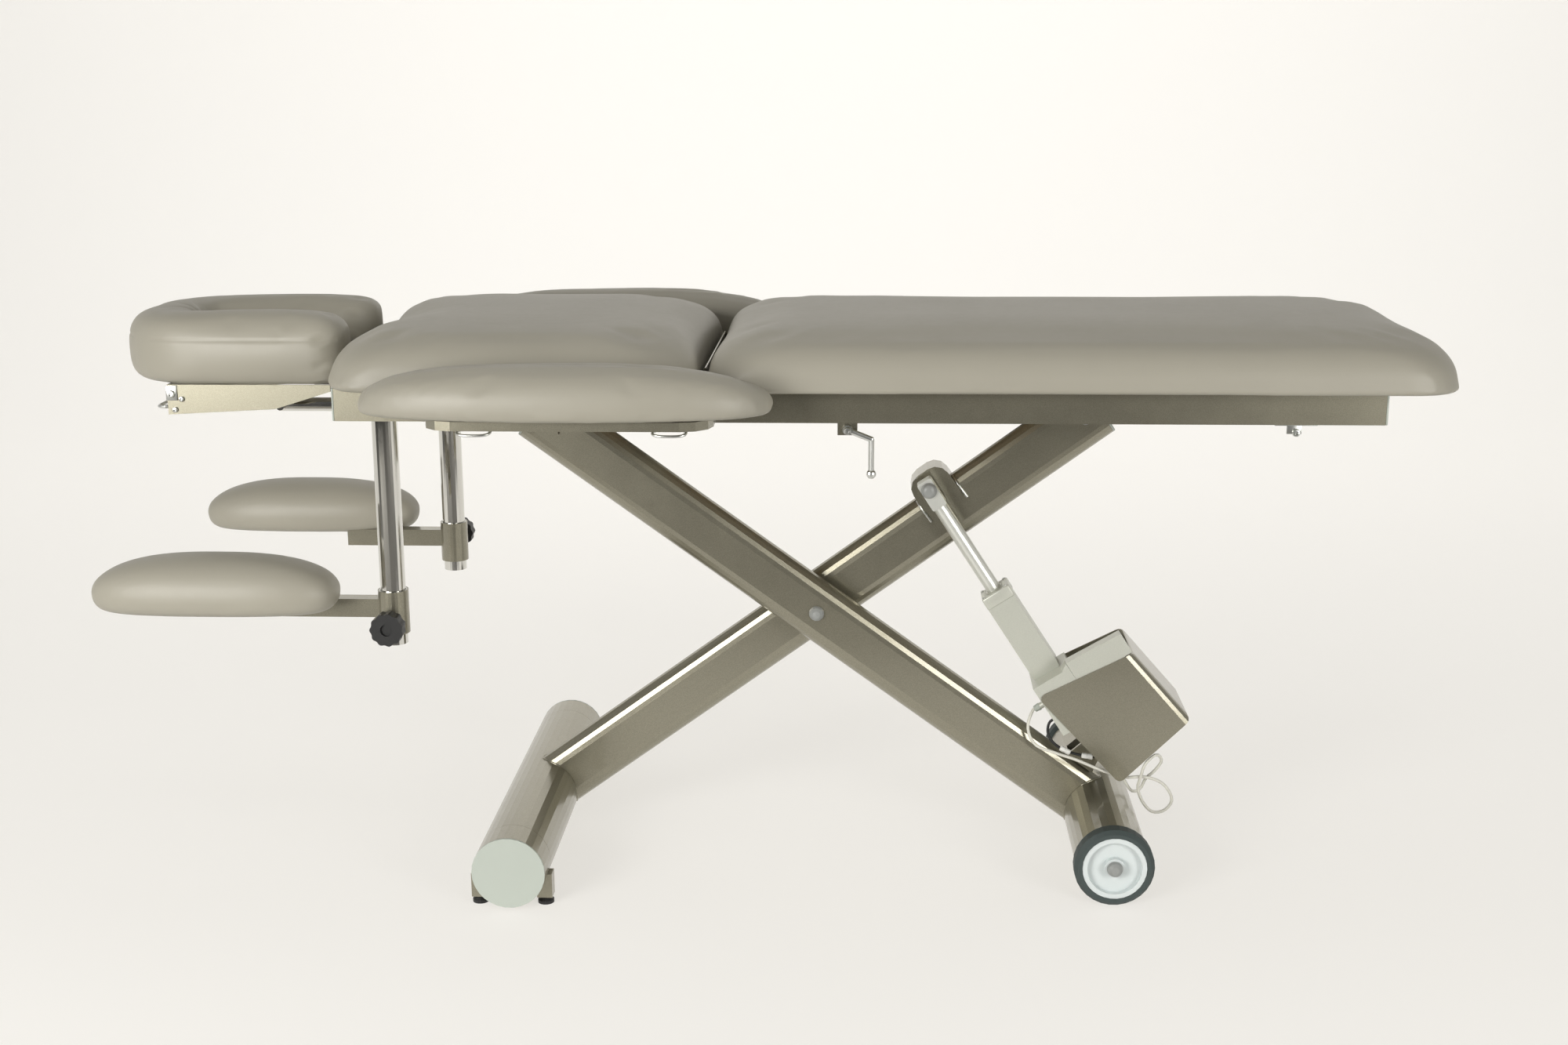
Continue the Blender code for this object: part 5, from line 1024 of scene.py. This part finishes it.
class TABLE_OT_actuator_trim(Operator):
    """End flange, wiper, screws and clevis cap of the actuator"""

    bl_idname = "massage_table.actuator_trim"
    bl_label = "Actuator trim"

    def execute(self, context):
        turn = Matrix((ROD_SIDE, Vector((0, 1, 0)), ROD_AXIS)).transposed()
        middle = REAR_PIN + Vector((0, ACTUATOR_Y, 0))

        def slab(n_low, n_high, a_low, a_high, y_half, edge):
            bm = bevelled_box((n_low, -y_half, a_low), (n_high, y_half, a_high), edge, 3)
            bmesh.ops.rotate(bm, verts=bm.verts, cent=(0, 0, 0), matrix=turn)
            bmesh.ops.translate(bm, verts=bm.verts, vec=middle)
            return bm

        flange = slab(-0.0246, 0.0256, 0.2905, 0.3115, 0.0256, 0.0025)
        hole = [(0.0126, -0.002), (0.0126, 0.0032), (0.0148, 0.0032), (0.0152, -0.002), (0.0126, -0.002)]
        item = show("actuator_flange", flange, "case", "actuator_body")
        cutter_mesh = bpy.data.meshes.new("flange_hole")
        bore = [(0.0, -0.01), (0.0128, -0.01), (0.0128, 0.03), (0.0, 0.03)]
        round_hole = turned(bore, middle + ROD_AXIS * 0.2975, ROD_AXIS)
        round_hole.to_mesh(cutter_mesh)
        round_hole.free()
        cutter = linked("flange_hole", cutter_mesh)
        cut = item.modifiers.new("hole", "BOOLEAN")
        cut.operation = "DIFFERENCE"
        cut.solver = "EXACT"
        cut.object = cutter
        bake_modifiers(item)
        bpy.data.objects.remove(cutter)
        wiper = turned(hole, middle + ROD_AXIS * 0.3090, ROD_AXIS)
        show("actuator_wiper", wiper, "case", "actuator_body")
        heads = []
        for n in (-0.0205, 0.0205):
            for y in (-0.0205, 0.0205):
                spot = middle + ROD_SIDE * n + Vector((0, y, 0)) + ROD_AXIS * 0.3116
                heads.append(screw_head(spot, ROD_AXIS, 0.0032, 0.0016))
        show("actuator_screws", merge_shapes(heads), "zinc", "actuator_body")
        eye = REAR_PIN + ROD_AXIS * 0.5099
        eye.y = -0.0410
        cap = [(0.0, 0.0), (0.0128, 0.0), (0.0128, 0.0022), (0.0120, 0.0028), (0.0118, 0.0050),
               (0.0102, 0.0078), (0.0070, 0.0096), (0.0034, 0.0103), (0.0, 0.0105)]
        show("clevis_cap", turned(cap, eye, (0, -1, 0)), "dome", "actuator_rod_body")
        return {"FINISHED"}


class TABLE_OT_motor_lead(Operator):
    """Short black lead from the gearbox to the motor, with its pale couplers"""

    bl_idname = "massage_table.motor_lead"
    bl_label = "Motor lead"

    def execute(self, context):
        spots = ((-0.0302, 0.0760, -0.052), (-0.0420, 0.0740, -0.052), (-0.0525, 0.0610, -0.054),
                 (-0.0535, 0.0440, -0.058), (-0.0450, 0.0250, -0.062), (-0.0300, 0.0080, -0.066),
                 (-0.0140, -0.0050, -0.069), (0.0020, -0.0140, -0.070), (0.0200, -0.0190, -0.070))
        route = [REAR_PIN + ROD_SIDE * n + ROD_AXIS * a + Vector((0, y, 0)) for n, a, y in spots]
        path = smooth_path(route, 0.003)
        wire("motor_lead", path, 0.0023, "black", "actuator_body")
        profile = [(0.0025, 0.0), (0.0046, 0.0008), (0.0046, 0.0090), (0.0040, 0.0094), (0.0040, 0.0104),
                   (0.0046, 0.0108), (0.0046, 0.0180), (0.0025, 0.0188), (0.0025, 0.0)]
        sleeves = []
        for share in (0.42, 0.66):
            index = int(len(path) * share)
            sleeves.append(turned(profile, path[index], path[index + 3] - path[index], 24))
        show("lead_couplers", merge_shapes(sleeves), "white", "actuator_body")
        return {"FINISHED"}


class TABLE_OT_stage(Operator):
    """Pale floor and backdrop with a dark painted-shade strip in front, soft boxes and world light"""

    bl_idname = "massage_table.stage"
    bl_label = "Stage"

    def execute(self, context):
        scene = context.scene
        scene.view_settings.view_transform = "Standard"
        bm = bmesh.new()
        bmesh.ops.create_grid(bm, x_segments=2, y_segments=60, size=1.0)
        start, bend = 3.6, 1.6
        for vert in bm.verts:
            reach = -5.0 + (vert.co.y + 1) / 2 * 16.0
            if reach < start:
                y, z = reach, 0.0
            elif reach < start + bend * math.pi / 2:
                angle = (reach - start) / bend
                y, z = start + bend * math.sin(angle), bend * (1 - math.cos(angle))
            else:
                y, z = start + bend, bend + reach - start - bend * math.pi / 2
            vert.co = Vector((vert.co.x * 9.0, y, z))
        mesh = bpy.data.meshes.new("backdrop")
        bm.to_mesh(mesh)
        bm.free()
        mesh.shade_smooth()
        material, tree, shader, place = start_material("paper", (0.90, 0.89, 0.87))
        shader.inputs["Roughness"].default_value = 0.95
        mottled = blend_colour(tree, noise_at(tree, place, 0.6, 2.0), (0.90, 0.885, 0.865),
                               (0.92, 0.91, 0.89))
        split = tree.nodes.new("ShaderNodeSeparateXYZ")
        tree.links.new(place, split.inputs["Vector"])
        near = tree.nodes.new("ShaderNodeMapRange")
        near.interpolation_type = "SMOOTHSTEP"
        tree.links.new(split.outputs["Y"], near.inputs["Value"])
        give(near, {"From Min": -1.3, "From Max": -0.85})
        # Towards the camera, short of y = -0.85, the floor's colour turns dark: painted shade, a dark strip
        # standing in for the unlit front of the room, so that chrome and paint reflect darkness there.
        edge = tree.nodes.new("ShaderNodeMix")
        edge.data_type = "RGBA"
        tree.links.new(near.outputs["Result"], edge.inputs["Factor"])
        edge.inputs["A"].default_value = (0.16, 0.155, 0.145, 1.0)
        tree.links.new(mottled, edge.inputs["B"])
        tree.links.new(edge.outputs["Result"], shader.inputs["Base Color"])
        rays = tree.nodes.new("ShaderNodeLightPath")
        mirrored = maths(tree, "MAXIMUM", rays.outputs["Is Glossy Ray"], rays.outputs["Is Transmission Ray"])
        mirrored = maths(tree, "MULTIPLY", mirrored, near.outputs["Result"])
        seen = maths(tree, "MAXIMUM", rays.outputs["Is Camera Ray"], mirrored)
        glow = tree.nodes.new("ShaderNodeEmission")
        give(glow, {"Color": (1.0, 0.972, 0.915, 1.0), "Strength": 1.0})
        mixed = tree.nodes.new("ShaderNodeMixShader")
        tree.links.new(maths(tree, "MULTIPLY", seen, 0.65), mixed.inputs["Fac"])
        tree.links.new(shader.outputs["BSDF"], mixed.inputs[1])
        tree.links.new(glow.outputs["Emission"], mixed.inputs[2])
        tree.links.new(mixed.outputs["Shader"], tree.nodes["Material Output"].inputs["Surface"])
        mesh.materials.append(material)
        floor = linked("backdrop", mesh)

        world = bpy.data.worlds.new("studio")
        world.use_nodes = True
        tree = world.node_tree
        heading = tree.nodes.new("ShaderNodeTexCoord").outputs["Generated"]
        split = tree.nodes.new("ShaderNodeSeparateXYZ")
        tree.links.new(heading, split.inputs["Vector"])
        ramp = tree.nodes.new("ShaderNodeValToRGB")
        tree.links.new(maths(tree, "MULTIPLY_ADD", split.outputs["Y"], 0.5, 0.5), ramp.inputs["Fac"])
        stops = ((0.0, 0.10), (0.18, 0.16), (0.42, 0.70), (1.0, 0.80))
        while len(ramp.color_ramp.elements) < len(stops):
            ramp.color_ramp.elements.new(0.5)
        for element, (spot, level) in zip(ramp.color_ramp.elements, stops):
            element.position = spot
            element.color = (*(level * channel for channel in PAPER_TINT), 1.0)
        ceiling = tree.nodes.new("ShaderNodeMapRange")
        tree.links.new(split.outputs["Z"], ceiling.inputs["Value"])
        give(ceiling, {"From Min": 0.25, "From Max": 0.85, "To Min": 0.75, "To Max": 0.12})
        background = tree.nodes["Background"]
        tree.links.new(ramp.outputs["Color"], background.inputs["Color"])
        tree.links.new(ceiling.outputs["Result"], background.inputs["Strength"])
        scene.world = world

        power = scene.massage_table.lamp_power
        lamps = (("key", (-2.3, -3.3, 1.35), (-0.2, 0.0, 0.60), (1.7, 1.9), power * 2.05),
                 ("fill", (2.7, -3.1, 1.15), (0.2, 0.0, 0.60), (1.3, 1.8), power * 1.15),
                 ("overhead", (0.1, 0.5, 3.2), (0.0, 0.1, 0.4), (3.2, 1.6), power * 0.13),
                 ("wall", (0.0, 2.4, 3.6), (0.0, 5.2, 1.5), (6.0, 0.9), power * 2.2),
                 ("floor", (0.0, -2.6, 3.4), (0.0, -1.0, 0.0), (4.5, 0.8), power * 0.22))
        for name, place_at, look, size, watts in lamps:
            data = bpy.data.lights.new(name, "AREA")
            data.shape = "RECTANGLE"
            data.size, data.size_y = size
            data.energy = watts
            data.color = PAPER_TINT
            lamp = linked(name, data)
            aim = (Vector(look) - Vector(place_at)).to_track_quat("-Z", "Y").to_matrix().to_4x4()
            lamp.matrix_world = Matrix.Translation(place_at) @ aim
        return {"FINISHED"}


class TABLE_PT_pieces(Panel):
    """Buttons for every piece, and the values that they use"""

    bl_idname = "TABLE_PT_pieces"
    bl_label = "Massage table"
    bl_space_type = "VIEW_3D"
    bl_region_type = "UI"
    bl_category = "Massage table"

    def draw(self, context):
        layout = self.layout
        settings = context.scene.massage_table
        for name in settings.bl_rna.properties.keys():
            if name not in {"rna_type", "name"}:
                layout.prop(settings, name)
        for operator in OPERATORS:
            layout.operator(operator.bl_idname)


OPERATORS = (
    TABLE_OT_camera,
    TABLE_OT_finishes,
    TABLE_OT_cord,
    TABLE_OT_top_cushions,
    TABLE_OT_wing_cushions,
    TABLE_OT_arm_pads,
    TABLE_OT_face_cushion,
    TABLE_OT_welds,
    TABLE_OT_end_caps,
    TABLE_OT_wing_clips,
    TABLE_OT_tray_screws,
    TABLE_OT_rail_brackets,
    TABLE_OT_actuator_trim,
    TABLE_OT_motor_lead,
    TABLE_OT_stage,
)
CLASSES = (TableSettings, *OPERATORS, TABLE_PT_pieces)


def register():
    for item in CLASSES:
        bpy.utils.register_class(item)
    bpy.types.Scene.massage_table = PointerProperty(type=TableSettings)


def unregister():
    del bpy.types.Scene.massage_table
    for item in reversed(CLASSES):
        bpy.utils.unregister_class(item)


def main():
    register()
    for operator in OPERATORS:
        group, action = operator.bl_idname.split(".")
        getattr(getattr(bpy.ops, group), action)()


if __name__ == "__main__":
    main()
